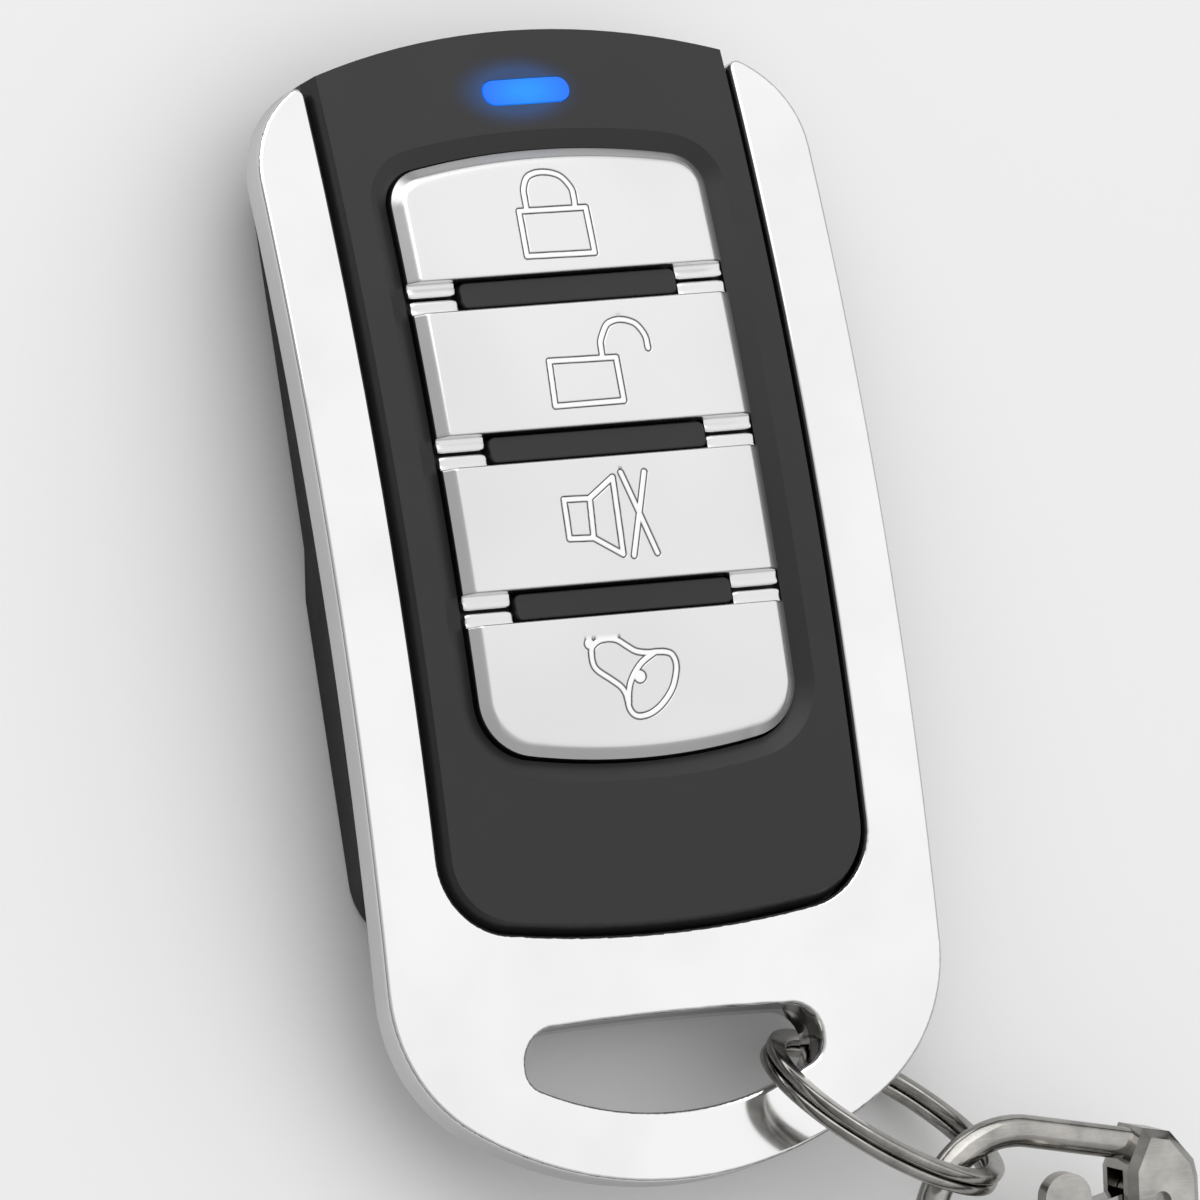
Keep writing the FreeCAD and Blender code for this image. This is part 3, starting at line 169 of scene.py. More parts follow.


# Satin plate of the keys: softer than the frame, with a painted highlight between the grooves of an icon's lines
# and painted shade in the grooves
def keyLook(shader):
    haze = shader.cloud(14.0, 1.0)
    groove = shader.attribute("groove")
    plate = shader.blend(shader.span(haze, 0.35, 0.65), rgb(0.755, 0.755, 0.76), rgb(0.82, 0.82, 0.82))
    # Painted highlight: inside each icon line, between its two grooves, the plate is coloured near white
    highlightedPlate = shader.blend(shader.attribute("band"), plate, rgb(0.97, 0.97, 0.97))
    return {
        # Painted shade: the grooves are coloured near black
        "Base Color": shader.blend(shader.span(groove, 0.0, 0.75), highlightedPlate, rgb(0.09, 0.09, 0.092)),
        "Roughness": shader.span(haze, 0.3, 0.7, 0.2, 0.28) + groove * 0.25,
        "Normal": shader.bump(shader.cloud(0.16, 2.0), 0.0012),
    }


# Moulded black plastic with a spark-eroded grain, and a painted blue glow of the signal light on it round the lens
def shellLook(shader):
    grain = shader.cloud(0.11, 2.0)
    patch = shader.cloud(7.0)
    # Painted light: the signal light's blue glow on the shell round the lens, given as emission
    paintedLedGlow = shader.span(shader.away((-0.55, 27.65, 9), (4.1, 2.3, 20)), 1.0, 0.55)
    return {
        "Emission Color": shader.blend(paintedLedGlow * paintedLedGlow, rgb(0.0, 0.0, 0.0), rgb(0.0, 0.035, 0.14)),
        "Base Color": shader.blend(
            shader.span(patch, 0.3, 0.7), rgb(0.0105, 0.0105, 0.011), rgb(0.015, 0.015, 0.0155)),
        "Roughness": shader.span(patch, 0.3, 0.7, 0.34, 0.41) + shader.span(grain, 0.4, 0.7, 0.0, 0.05),
        "Normal": shader.bump(grain, 0.0035),
    }


def rearLook(shader):
    grain = shader.cloud(0.22, 3.0)
    return {
        "Base Color": shader.blend(
            shader.span(grain, 0.35, 0.65), rgb(0.004, 0.004, 0.0045), rgb(0.008, 0.008, 0.0085)),
        "Roughness": shader.span(shader.cloud(4.0), 0.3, 0.7, 0.42, 0.54),
        "Normal": shader.bump(grain, 0.009),
    }


# Nickel over steel that has darkened: cloudy, with bright rubbed streaks
def gunmetalLook(low, high, roughLow, roughHigh, size):
    def vary(shader):
        cloud = shader.cloud(size)
        streak = shader.brushed(0.09, 0)
        worn = shader.span(streak, 0.52, 0.72)
        return {
            "Base Color": shader.blend(
                worn * 0.35, shader.blend(shader.span(cloud, 0.3, 0.7), low, high), rgb(0.62, 0.6, 0.57)),
            "Roughness": shader.span(cloud, 0.3, 0.7, roughLow, roughHigh),
            "Normal": shader.bump(shader.cloud(0.7, 2.0), 0.006),
        }
    return vary


# Plain bright metal, turned or stamped
def metalLook(low, high, rough, size=0.5):
    def vary(shader):
        cloud = shader.cloud(size)
        return {
            "Base Color": shader.blend(shader.span(cloud, 0.35, 0.65), low, high),
            "Roughness": shader.span(cloud, 0.3, 0.7, rough, rough + 0.1),
            "Normal": shader.bump(shader.brushed(0.06, 0), 0.002),
        }
    return vary


# Plastic, rubber or ceramic with a slight mottle
def mouldedLook(low, high, rough, size=0.4, depth=0.003):
    def vary(shader):
        mottle = shader.cloud(size)
        return {
            "Base Color": shader.blend(shader.span(mottle, 0.35, 0.65), low, high),
            "Roughness": shader.span(mottle, 0.3, 0.7, rough, rough + 0.12),
            "Normal": shader.bump(mottle, depth),
        }
    return vary


# Tinted light guide, brightest in the middle where the diode sits behind it
def lensLook(shader):
    glow = shader.span(shader.away((0, 27.6, 9), (2.6, 1.3, 20)), 0.2, 1.05)
    return {
        "Base Color": shader.blend(glow, rgb(0.0, 0.03, 0.12), rgb(0.0, 0.02, 0.1)),
        "Emission Color": shader.blend(glow, rgb(0.0, 0.27, 1.0), rgb(0.0, 0.14, 0.85)),
        "Roughness": shader.span(shader.cloud(0.8), 0.3, 0.7, 0.15, 0.22),
    }


metal = {"Metallic": 1.0}
looks = {
    "chrome": finish("chromePlate", chromeLook, **metal),
    "satin_chrome": finish("keyPlate", keyLook, **metal),
    # The front shell's emission carries only the painted glow of the signal light
    "black_shell": finish("frontPlastic", shellLook, Emission_Strength=1.0),
    "rear_shell": finish("rearPlastic", rearLook, Specular_IOR_Level=0.3),
    "screw": finish("blackedScrew", metalLook(rgb(0.06, 0.06, 0.062), rgb(0.12, 0.12, 0.12), 0.35), **metal),
    "cell_steel": finish("cellSteel", metalLook(rgb(0.62, 0.62, 0.61), rgb(0.74, 0.74, 0.73), 0.24, 1.2), **metal),
    "gasket": finish("gasketNylon", mouldedLook(rgb(0.12, 0.13, 0.15), rgb(0.17, 0.18, 0.2), 0.45)),
    "contact": finish("contactNickel", metalLook(rgb(0.68, 0.64, 0.55), rgb(0.78, 0.74, 0.64), 0.22), **metal),
    "board": finish("boardMask", mouldedLook(rgb(0.008, 0.09, 0.035), rgb(0.012, 0.125, 0.05), 0.3, 0.9, 0.004)),
    "chip": finish("chipEpoxy", mouldedLook(rgb(0.018, 0.018, 0.02), rgb(0.03, 0.03, 0.032), 0.5, 0.12)),
    "can": finish("canSteel", metalLook(rgb(0.7, 0.7, 0.69), rgb(0.82, 0.82, 0.8), 0.2), **metal),
    "antenna": finish("antennaCopper", metalLook(rgb(0.72, 0.36, 0.2), rgb(0.86, 0.47, 0.29), 0.25, 0.8), **metal),
    "component": finish("ceramicBody", mouldedLook(rgb(0.42, 0.33, 0.22), rgb(0.52, 0.42, 0.3), 0.4, 0.2)),
    "led": finish("diodeBody", mouldedLook(rgb(0.75, 0.76, 0.72), rgb(0.85, 0.85, 0.8), 0.3, 0.3)),
    "lens": finish("lightGuide", lensLook, Emission_Strength=1.0),
    "mat": finish("matSilicone", mouldedLook(rgb(0.1, 0.1, 0.105), rgb(0.14, 0.14, 0.145), 0.55, 0.8, 0.006)),
    "switch": finish("switchFrame", mouldedLook(rgb(0.03, 0.03, 0.032), rgb(0.05, 0.05, 0.052), 0.42, 0.2)),
    "plunger": finish("plungerNylon", mouldedLook(rgb(0.55, 0.1, 0.07), rgb(0.66, 0.14, 0.1), 0.38, 0.3)),
    "ring_wire": finish("ringSteel", gunmetalLook(
        rgb(0.3, 0.293, 0.275), rgb(0.5, 0.488, 0.462), 0.1, 0.2, 1.4), **metal),
    "hook_metal": finish("hookNickel", gunmetalLook(
        rgb(0.33, 0.32, 0.302), rgb(0.54, 0.524, 0.496), 0.1, 0.2, 1.8), **metal),
    "pin_steel": finish("pinSteel", metalLook(rgb(0.3, 0.29, 0.28), rgb(0.42, 0.41, 0.4), 0.25), **metal),
}
nodeSlots = {
    "chrome_frame": "chrome", "front_shell": "black_shell", "rear_shell": "rear_shell", "case_screws": "screw",
    "cell_can": "cell_steel", "cell_cap": "cell_steel", "cell_gasket": "gasket", "negative_contact": "contact",
    "positive_clip": "contact", "circuit_board": "board", "radio_chip": "chip", "resonator_can": "can",
    "antenna_loop": "antenna", "board_components": "component", "status_led": "led", "led_lens": "lens",
    "keypad_mat": "mat", "split_ring": "ring_wire", "snap_hook": "hook_metal", "hook_gate": "hook_metal",
    "gate_pin": "pin_steel", "gate_spring": "pin_steel", "swivel_eye": "hook_metal",
}
for key in ("lock", "unlock", "mute", "bell"):
    nodeSlots.update({f"{key}_key": "satin_chrome", f"{key}_switch": "switch", f"{key}_plunger": "plunger"})
for name, node in frame["nodes"].items():
    for place in node.material_slots:
        place.material = looks[nodeSlots[name]]
print("finishes made:", len(looks))


# Takes a finished mesh into the scene: its finish, the body it moves with and the node it stands for
def settle(piece, node):
    piece.data.materials.clear()
    piece.data.materials.append(looks[nodeSlots[node]])
    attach(piece, frame["nodes"][node]["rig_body"])
    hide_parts(node)
    return piece


def newPiece(name, points, faces, sharp):
    mesh = bpy.data.meshes.new(name)
    mesh.from_pydata(np.asarray(points) * mm, [], faces)
    mesh.update()
    mesh.shade_smooth()
    mesh.set_sharp_from_angle(angle=math.radians(sharp))
    piece = bpy.data.objects.new(name, mesh)
    bpy.context.scene.collection.objects.link(piece)
    return piece


# Height of the arched face: a drum of the face radius lying along X, raised by the level. A triangle is on
# a drum if its corners' distances from the axis differ by less than the slack and it faces along them.
arch = {"radius": 155.0, "crown": 9.0, "slack": 0.002, "facing": 0.7}
flatLean = 0.06  # degrees that neighbours in one flat area may lean from each other


def archHeight(level, y):
    return arch["crown"] - arch["radius"] + np.sqrt((arch["radius"] + level) ** 2 - y ** 2)


# Which triangles lie on a surface of the drum, and the drum's own normal at each of their corners
def drumNormals(mesh, corner, normal):
    spot = np.empty(len(mesh.vertices) * 3)
    mesh.vertices.foreach_get("co", spot)
    spot = spot.reshape(-1, 3) / mm * (0, 1, 1) - (0, 0, arch["crown"] - arch["radius"])
    reach = np.linalg.norm(spot, axis=1)
    radial = (spot / reach[:, None])[corner].reshape(-1, 3, 3)
    lean = (radial.mean(1) * normal).sum(1)
    onDrum = (np.ptp(reach[corner].reshape(-1, 3), axis=1) < arch["slack"]) & (abs(lean) > arch["facing"])
    return onDrum, (radial * np.sign(lean)[:, None, None]).reshape(-1, 3)


# Corner normals of a mesh of triangles. A corner takes the sum of the face normals round its vertex that
# lean less than the sharp angle from its own face, each weighed by the whole flat area its face is part of.
# Faces on the drum take the drum's normals and outweigh the rest.
def evenNormals(mesh, sharp, arched):
    count = len(mesh.polygons)
    corner, normal, area = np.empty(count * 3, np.int64), np.empty(count * 3), np.empty(count)
    mesh.loops.foreach_get("vertex_index", corner)
    mesh.polygons.foreach_get("normal", normal)
    mesh.polygons.foreach_get("area", area)
    normal = normal.reshape(-1, 3)
    owner = np.repeat(np.arange(count), 3)
    side = np.sort(np.stack([corner, np.roll(corner.reshape(-1, 3), -1, 1).reshape(-1)], -1), 1)
    code = side[:, 0] * (corner.max() + 1) + side[:, 1]
    order = np.argsort(code, kind="stable")
    same = code[order][1:] == code[order][:-1]
    first, second = owner[order][:-1][same], owner[order][1:][same]
    level = (normal[first] * normal[second]).sum(1) > math.cos(math.radians(flatLean))
    first, second = first[level], second[level]
    group = np.arange(count)
    while True:
        least = np.minimum(group[first], group[second])
        fresh = group.copy()
        np.minimum.at(fresh, first, least)
        np.minimum.at(fresh, second, least)
        if (fresh == group).all():
            break
        group = fresh
    weight = np.bincount(group, area, count)[group]
    own = normal[owner]
    if arched:
        onDrum, drum = drumNormals(mesh, corner, normal)
        own[onDrum[owner]] = drum[onDrum[owner]]
        weight[onDrum] = area.sum()
    order = np.argsort(corner, kind="stable")
    vertex, own = corner[order], own[order]
    share = own * weight[owner[order]][:, None]
    total = share.copy()
    for step in range(1, int(np.bincount(corner).max())):
        lean = (own[step:] * own[:-step]).sum(1)
        near = (vertex[step:] == vertex[:-step]) & (lean > math.cos(math.radians(sharp)))
        total[step:][near] += share[:-step][near]
        total[:-step][near] += share[step:][near]
    result = np.empty_like(total)
    result[order] = total / np.maximum(np.linalg.norm(total, axis=1), 1e-30)[:, None]
    mesh.normals_split_custom_set(result.tolist())


# The node's own shape with its triangles joined, so that round faces shade as round ones
def joinedCopy(node, name, arched, sharp):
    source = bmesh.new()
    source.from_mesh(frame["nodes"][node].data)
    bmesh.ops.remove_doubles(source, verts=source.verts, dist=1e-7)
    mesh = bpy.data.meshes.new(name)
    source.to_mesh(mesh)
    source.free()
    mesh.shade_smooth()
    evenNormals(mesh, sharp, arched)
    piece = bpy.data.objects.new(name, mesh)
    bpy.context.scene.collection.objects.link(piece)
    return settle(piece, node)


# Sharp angles in degrees: over a rounding's own steps, under the lean of the bevels
for node, name, sharp in (
    ("chrome_frame", "frameCast", 38), ("front_shell", "frontShell", 16), ("rear_shell", "rearShell", 30),
    ("led_lens", "signalLens", 30),
):
    joinedCopy(node, name, True, sharp)
for node, name in {
    "snap_hook": "hookBody", "hook_gate": "hookGate", "swivel_eye": "swivelEye", "gate_pin": "gatePin",
    "case_screws": "caseScrews",
}.items():
    joinedCopy(node, name, False, 28)
print("case and hook dressed")


# Faces of a grid of points, row by row; a wrapped one joins its last column to its first
def gridFaces(rows, columns, wrapped=False):
    index = np.arange(rows * columns).reshape(rows, columns)
    if wrapped:
        index = np.hstack([index, index[:, :1]])
    return np.stack([index[:-1, :-1], index[:-1, 1:], index[1:, 1:], index[1:, :-1]], -1).reshape(-1, 4)


# Smooth curve through a few points: each span is the cubic whose ends lean along the neighbours' chord
def throughPoints(points, closed=False):
    points = np.asarray(points, float)
    if closed:
        padded = np.vstack([points[-1:], points, points[:2]])
    else:
        padded = np.vstack([2 * points[0] - points[1], points, 2 * points[-1] - points[-2]])
    before, start, stop, after = padded[:-3, None], padded[1:-2, None], padded[2:-1, None], padded[3:, None]
    t = np.linspace(0, 1, keyCaps["curveSteps"], endpoint=False)[None, :, None]
    curve = 0.5 * (2 * start + (stop - before) * t + (2 * before - 5 * start + 4 * stop - after) * t ** 2
                   + (3 * start - before - 3 * stop + after) * t ** 3)
    curve = curve.reshape(-1, 2)
    return np.vstack([curve, curve[:1] if closed else points[-1:]])


# Key caps, in millimetres. An end is the apex in y, the radius of its arc and the radius of its corners.
keyCaps = {
    "halfWidth": 9.1, "base": 6.6, "level": 0.9, "bevelWide": 0.6, "bevelDeep": 0.45, "edge": 0.14,
    "lipLevel": 0.2, "lipThick": 0.45, "lipFrom": 6.4, "lipNear": 0.08, "lipRoot": 0.95, "barEdge": 0.85,
    "bars": (16.45, 7.95, -0.55),
    "topEnd": (24.25, 39.85, 2.05), "lowEnd": (-9.05, 35.85, 3.05),
    "lineHalf": 0.165, "grooveHalf": 0.062, "grooveDeep": 0.04, "highlightSoft": 0.03, "bevelSoft": 0.006,
    "sideBand": 0.9, "endBand": 0.6, "iconAcross": (-3.1, 4.0), "fine": 0.034, "coarseX": 0.3, "coarseY": 0.25,
    "channelDeep": 0.06, "channelAt": 0.15, "channelWide": 0.28, "curveSteps": 8, "sharp": 38,
}
# Shares of a key's length between which its icon lies
iconShares = {"lock": (0.06, 0.84), "unlock": (0.06, 0.86), "mute": (0.07, 0.88), "bell": (0.2, 0.83)}
lockShackle = [(-1.66, 20.8), (-1.64, 21.5), (-1.58, 22.05), (-1.27, 22.63), (-0.78, 22.86), (-0.23, 22.89),
               (0.32, 22.77), (0.77, 22.49), (1.15, 21.86), (1.18, 21.3), (1.14, 20.8)]
openShackle = [(0.96, 12.43), (0.98, 13.0), (1.06, 13.41), (1.49, 14.13), (1.90, 14.37), (2.38, 14.43),
               (2.88, 14.31), (3.29, 14.05), (3.63, 13.43), (3.67, 12.75)]
bellEdge = [(-2.5, -3.25), (-2.30, -2.95), (-1.92, -2.75), (-1.38, -2.71), (-0.92, -2.83), (-0.44, -3.18),
            (0.04, -3.49), (0.68, -3.62), (1.30, -3.62), (1.74, -3.67), (2.07, -3.84), (2.22, -4.30),
            (2.13, -4.87), (1.79, -5.66), (1.14, -6.38), (0.46, -6.81), (-0.18, -6.94), (-0.56, -6.83),
            (-0.78, -6.51), (-0.84, -6.05), (-0.90, -5.68), (-1.12, -5.29), (-1.59, -4.89), (-2.30, -4.34),
            (-2.52, -3.91)]
bellMouth = [(1.07, -3.65), (0.64, -3.88), (0.25, -4.14), (-0.12, -4.52), (-0.40, -4.90), (-0.59, -5.26),
             (-0.72, -5.69), (-0.80, -6.2)]
# Each icon: lines to trace, then dots as x, y, radius
icons = {
    "lock": ([[(-2.12, 20.8), (1.74, 20.76), (1.71, 18.21), (-2.20, 18.28), (-2.12, 20.8)],
              throughPoints(lockShackle)], []),
    "unlock": ([[(-2.13, 12.44), (1.73, 12.38), (1.72, 9.99), (-2.25, 9.97), (-2.13, 12.44)],
                throughPoints(openShackle)], []),
    "mute": ([[(-2.71, 4.9), (-1.23, 4.86), (-1.37, 2.72), (-2.75, 2.78), (-2.71, 4.9)],
              [(-1.23, 4.86), (0.28, 5.9), (0.16, 1.72), (-1.37, 2.72)],
              [(0.79, 6.11), (2.13, 1.64)], [(2.14, 6.05), (0.77, 1.6)]], []),
    "bell": ([throughPoints(bellEdge, closed=True), throughPoints(bellMouth)],
             [(-2.55, -2.9, 0.3), (0.05, -4.84, 0.36)]),
}


# Distance from each point to the nearest traced line, less half the line's width
def iconDistance(x, y, icon):
    lines, dots = icon
    near = np.full(x.shape, 9.0)
    for line in lines:
        line = np.asarray(line, float)
        for (x0, y0), (x1, y1) in zip(line[:-1], line[1:]):
            runX, runY = x1 - x0, y1 - y0
            along = np.clip(((x - x0) * runX + (y - y0) * runY) / (runX ** 2 + runY ** 2), 0, 1)
            gap = np.hypot(x - x0 - along * runX, y - y0 - along * runY)
            near = np.minimum(near, gap - keyCaps["lineHalf"])
    for x0, y0, radius in dots:
        near = np.minimum(near, np.hypot(x - x0, y - y0) - radius)
    return near


# End of a key at the window's round end: an arc, and a smaller one at the corner.
# Gives the edge's y over x, and for any point its distance in from that edge.
def roundEnd(end, side):
    apex, radius, corner = end
    reach = keyCaps["halfWidth"] - corner
    centre = apex - side * radius
    cornerY = centre + side * math.sqrt((radius - corner) ** 2 - reach ** 2)
    join = reach * radius / (radius - corner)

    def edge(x):
        bow = centre + side * np.sqrt(radius ** 2 - x ** 2)
        turn = cornerY + side * np.sqrt(np.maximum(corner ** 2 - np.maximum(abs(x) - reach, 0) ** 2, 0))
        return np.where(abs(x) < join, bow, turn)

    def inside(x, y):
        bow = radius - np.hypot(x, y - centre)
        turn = corner - np.hypot(abs(x) - reach, y - cornerY)
        atCorner = (abs(x) > reach) & (side * (y - cornerY) > 0)
        return np.where(atCorner, np.minimum(turn, bow), bow)

    return edge, inside


# Spots along a span, close together in the dense part
def spacing(low, high, dense, fine, coarse):
    first = np.arange(low, dense[0], coarse)
    middle = np.arange(dense[0], dense[1], fine)
    last = np.arange(dense[1], high - coarse / 3, coarse)
    return np.concatenate([first, middle, last, [high]])


# Key top: x across, and from the low edge to the high edge the share v. Height is the arch, less the
# bevel along the window, less the quarter round beside a bar, less the grooves that edge the icon.
def keyTop(key, upperBar, lowerBar):
    size = keyCaps
    half, sideBand, fine = size["halfWidth"], size["sideBand"], size["fine"]
    flatX = spacing(-half + sideBand, half - sideBand, size["iconAcross"], fine, size["coarseX"])
    rim = half - sideBand + sideBand * np.sin(np.linspace(0, 1, 16) * math.pi / 2)
    x = np.concatenate([-rim[:0:-1], flatX, rim[1:]])
    topEdge, topInside = roundEnd(size["topEnd"], 1)
    lowEdge, lowInside = roundEnd(size["lowEnd"], -1)
    high = np.full(x.shape, upperBar - size["barEdge"]) if upperBar is not None else topEdge(x)
    low = np.full(x.shape, lowerBar + size["barEdge"]) if lowerBar is not None else lowEdge(x)
    length = high.max() - low.min()
    endShare = size["endBand"] / length
    v = spacing(endShare, 1 - endShare, iconShares[key], fine / length, size["coarseY"] / length)
    ends = endShare * (1 - np.cos(np.linspace(0, 1, 12) * math.pi / 2))
    v = np.unique(np.round(np.concatenate([ends, v, 1 - ends]), 6))
    x, v = np.meshgrid(x, v)
    low, high = low[None, :], high[None, :]
    y = low + (high - low) * v
    inside = half - abs(x)
    if upperBar is None:
        inside = np.minimum(inside, topInside(x, y))
    if lowerBar is None:
        inside = np.minimum(inside, lowInside(x, y))
    slope = 1 - inside / size["bevelWide"]
    drop = size["bevelDeep"] * 0.5 * (slope + np.sqrt(slope ** 2 + size["bevelSoft"]))
    for bar, direction in ((upperBar, 1), (lowerBar, -1)):
        if bar is not None:
            beside = direction * (bar - y) - size["barEdge"]
            short = np.clip(size["edge"] - beside, 0, size["edge"])
            drop = drop + size["edge"] - np.sqrt(size["edge"] ** 2 - short ** 2)
    near = iconDistance(x, y, icons[key])
    groove = np.clip(1 - abs(near) / size["grooveHalf"], 0, 1)
    # Mask of the painted highlight inside a line, between its two grooves
    band = np.clip(-near / size["highlightSoft"], 0, 1)
    z = archHeight(size["level"] - drop - size["grooveDeep"] * groove, y)
    return x, y, z, groove, band


# A lip is a rounded strip beside the key, along X: its section is a rounded bar with a shallow
# channel on top, carried from the bar's end to the window's side, where it closes in
def keyLip(bar, direction, side):
    size = keyCaps
    angle = np.linspace(0, 2 * math.pi, 40, endpoint=False)
    middle, reach = (size["lipNear"] + size["lipRoot"]) / 2, (size["lipRoot"] - size["lipNear"]) / 2
    across = np.sign(np.cos(angle)) * abs(np.cos(angle)) ** 0.5
    rise = np.sign(np.sin(angle)) * abs(np.sin(angle)) ** 0.5
    dip = size["channelDeep"] * np.exp(-((across - size["channelAt"]) / size["channelWide"]) ** 2)
    channel = np.where(rise > 0.5, dip, 0)
    x = np.array([0, 0.03, 0.12, 0.4, 0.65, 0.86, 0.95, 0.99, 1.0])
    shrink = np.array([0.86, 0.95, 1, 1, 1, 1, 0.96, 0.86, 0.7])
    x, across = np.meshgrid(size["lipFrom"] + x * (size["halfWidth"] - size["lipFrom"]), across, indexing="ij")
    shrink = shrink[:, None]
    y = bar + direction * (middle + reach * across * shrink)
    level = size["lipLevel"] - size["lipThick"] / 2 + size["lipThick"] / 2 * rise * shrink - channel
    points = np.stack([side * x, y, archHeight(level, y)], -1)
    return points if side * direction > 0 else points[:, ::-1]


def keyCap(key, upperBar, lowerBar):
    x, y, z, *marks = keyTop(key, upperBar, lowerBar)
    rows, columns = x.shape
    top = np.stack([x, y, z], -1).reshape(-1, 3)
    index = np.arange(rows * columns).reshape(rows, columns)
    rim = np.concatenate([index[0, :-1], index[:-1, -1], index[-1, :0:-1], index[:0:-1, 0]])
    foot = top[rim].copy()
    foot[:, 2] = keyCaps["base"]
    lower = len(top) + np.arange(len(rim))
    walls = np.stack([rim, lower, np.roll(lower, -1), np.roll(rim, -1)], -1)
    points = [top, foot]
    faces = gridFaces(rows, columns).tolist() + walls.tolist() + [lower[::-1].tolist()]
    count = len(top) + len(foot)
    for bar, direction in ((upperBar, -1), (lowerBar, 1)):
        for side in (-1, 1):
            if bar is None:
                continue
            strip = keyLip(bar, direction, side)
            along, around = strip.shape[:2]
            last = count + (along - 1) * around
            loops = gridFaces(along, around, wrapped=True) + count
            ends = [list(range(count, count + around)), list(range(last + around - 1, last - 1, -1))]
            faces += loops[:, ::-1].tolist() + ends
            points.append(strip.reshape(-1, 3))
            count = last + around
    piece = newPiece(f"{key}KeyCap", np.vstack(points), faces, keyCaps["sharp"])
    for name, values in zip(("groove", "band"), marks):
        mark = np.zeros(count, np.float32)
        mark[:values.size] = values.reshape(-1)
        piece.data.attributes.new(name, "FLOAT", "POINT").data.foreach_set("value", mark)
    return settle(piece, f"{key}_key")


topBar, middleBar, lowBar = keyCaps["bars"]
for key, upperBar, lowerBar in (
    ("lock", None, topBar), ("unlock", topBar, middleBar), ("mute", middleBar, lowBar), ("bell", lowBar, None),
):
    piece = keyCap(key, upperBar, lowerBar)
    print(piece.name, "triangles", sum(len(face.vertices) - 2 for face in piece.data.polygons))

# Split ring: a rounded flat section carried round almost two turns. The level follows a cosine step
# where the wire crosses from the lower turn to the upper one.
splitRing = {
    "centre": (11.6, -28.72, 6.398), "yaw": -39.9, "pitch": -13.26, "roll": 124.55, "seam": 246.0,
    "outer": 7.2, "wall": 1.05, "wire": 0.63, "gap": 0.06, "step": 30.0, "end": 3.0, "squareness": 0.55,
    "stepsAlong": 420, "stepsAround": 28, "endSizes": (0.72, 0.9, 0.98), "sharp": 40,
}


def ringWire():
    size = splitRing
    half = size["step"] / 2
    angle = np.radians(np.linspace(half + size["end"], 720 - half - size["end"], size["stepsAlong"]))
    share = np.clip((angle - math.radians(360 - half)) / math.radians(2 * half), 0, 1)
    level = (size["wire"] + size["gap"]) / 2 * -np.cos(math.pi * share)
    turn = np.linspace(0, 2 * math.pi, size["stepsAround"], endpoint=False)
    across = np.sign(np.cos(turn)) * abs(np.cos(turn)) ** size["squareness"] * size["wall"] / 2
    rise = np.sign(np.sin(turn)) * abs(np.sin(turn)) ** size["squareness"] * size["wire"] / 2
    ends = np.ones(angle.size)
    ends[[0, 1, 2]] = ends[[-1, -2, -3]] = size["endSizes"]
    radius = size["outer"] - size["wall"] / 2 + across[None, :] * ends[:, None]
    height = level[:, None] + rise[None, :] * ends[:, None]
    local = np.stack([radius * np.cos(angle)[:, None], radius * np.sin(angle)[:, None], height], -1)
    pose = Matrix.Identity(3)
    for turned, axis in (("yaw", "Z"), ("pitch", "Y"), ("roll", "X"), ("seam", "Z")):
        pose = pose @ Matrix.Rotation(math.radians(size[turned]), 3, axis)
    points = local.reshape(-1, 3) @ np.array(pose).T + np.array(size["centre"])
    around = turn.size
    faces = gridFaces(angle.size, around, wrapped=True)[:, ::-1].tolist()
    last = (angle.size - 1) * around
    faces += [list(range(around)), list(range(last + around - 1, last - 1, -1))]
    return settle(newPiece("ringWire", points, faces, size["sharp"]), "split_ring")


ringWire()
print("ring wound")

# Pale floor, a hair under the object
floorHalf, floorDrop = 1.5, 0.00002
floorMesh = bpy.data.meshes.new("floor")
floorMesh.from_pydata([(-floorHalf, -floorHalf, 0), (floorHalf, -floorHalf, 0),
                       (floorHalf, floorHalf, 0), (-floorHalf, floorHalf, 0)], [], [(0, 1, 2, 3)])
floorMesh.transform(Matrix.Translation((0, 0, -floorDrop)))
floor = bpy.data.objects.new("floor", floorMesh)
bpy.context.scene.collection.objects.link(floor)
floorFinish = bpy.data.materials.new("paleFloor")
shader = Shader(floorFinish)
seen = shader.node("ShaderNodeLightPath", {}, {}, "Is Camera Ray")
surface = shader.node("ShaderNodeBsdfDiffuse", {}, {
    "Color": shader.blend(seen, rgb(0.72, 0.72, 0.72), rgb(1.0, 1.0, 1.0))})
shader.node("ShaderNodeOutputMaterial", {}, {"Surface": surface})
floorMesh.materials.append(floorFinish)

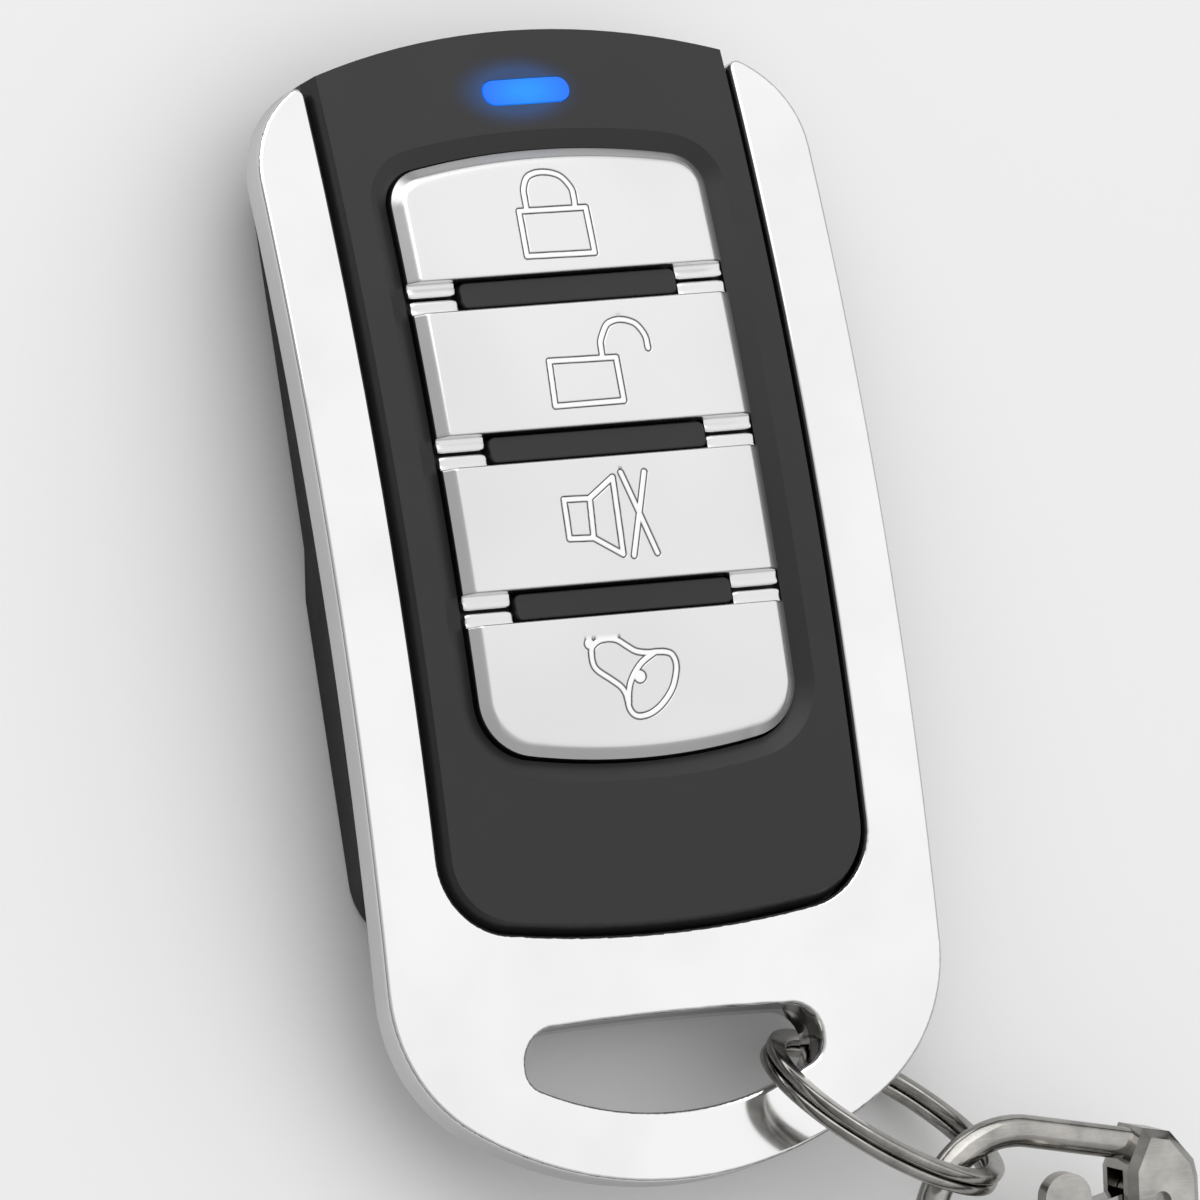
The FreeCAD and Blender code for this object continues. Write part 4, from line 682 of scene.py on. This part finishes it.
# Soft studio: a tent that is brightest where the key faces look and falls off all round
world = bpy.data.worlds.new("studio")
bpy.context.scene.world = world
shader = Shader(world)
direction = shader.node("ShaderNodeTexCoord", {}, {}, "Generated")
facing = shader.node("ShaderNodeVectorMath", {"operation": "DOT_PRODUCT"}, {
    0: direction, 1: Vector((0.45, 0.2, 0.87)).normalized()}, "Value")
tent = shader.node("ShaderNodeValToRGB", {"stops": [
    (0.0, rgb(0.42, 0.42, 0.42)), (0.45, rgb(0.32, 0.32, 0.32)), (0.62, rgb(0.44, 0.44, 0.44)),
    (0.8, rgb(0.6, 0.6, 0.6)), (0.91, rgb(0.95, 0.95, 0.95)), (1.0, rgb(1.0, 1.0, 1.0))]},
    {0: shader.span(facing, -1.0, 1.0)})
height = shader.node("ShaderNodeVectorMath", {"operation": "DOT_PRODUCT"}, {
    0: direction, 1: Vector((0.0, 0.0, 1.0))}, "Value")
belt = shader.blend(shader.span(height, 0.06, 0.3), rgb(0.05, 0.05, 0.05), tent)
seen = shader.node("ShaderNodeLightPath", {}, {}, "Is Camera Ray")
sky = shader.node("ShaderNodeBackground", {}, {
    "Color": shader.blend(seen, belt, rgb(1.0, 1.0, 1.0)), "Strength": 1.0})
shader.node("ShaderNodeOutputWorld", {}, {"Surface": sky})


# One wide soft lamp from beyond the signal light, turned to the origin
topLamp = {"place": (-0.14, 0.53, 0.45), "size": 0.8, "power": 1.7}
lamp = bpy.data.lights.new("topLamp", "AREA")
lamp.shape = "DISK"
lamp.size = topLamp["size"]
lamp.energy = topLamp["power"]
holder = bpy.data.objects.new("topLamp", lamp)
holder.location = topLamp["place"]
holder.rotation_euler = (-Vector(topLamp["place"])).to_track_quat("-Z", "Y").to_euler()
bpy.context.scene.collection.objects.link(holder)

# Camera at the photograph's angle: its right, up and backward axes, and its place in its own axes
view = {
    "right": (0.91106, -0.15219, 0.38316), "up": (0.07869, 0.97648, 0.20076), "back": (-0.4047, -0.15275, 0.9016),
    "aside": 1.0071036, "above": 0.5458224, "away": 609.63175, "lens": 346.9643,
}
axes = Matrix((view["right"], view["up"], view["back"])).transposed()
camera = bpy.data.objects.new("camera", bpy.data.cameras.new("camera"))
spot = axes @ Vector((-view["aside"], -view["above"], view["away"])) + Vector((0, 0, arch["crown"]))
camera.matrix_world = Matrix.Translation(spot * mm) @ axes.to_4x4()
camera.data.lens = view["lens"]
camera.data.sensor_width = 36.0
camera.data.clip_start, camera.data.clip_end = 0.05, 20.0
bpy.context.scene.collection.objects.link(camera)
bpy.context.scene.camera = camera
bpy.context.scene.view_settings.view_transform = "Standard"
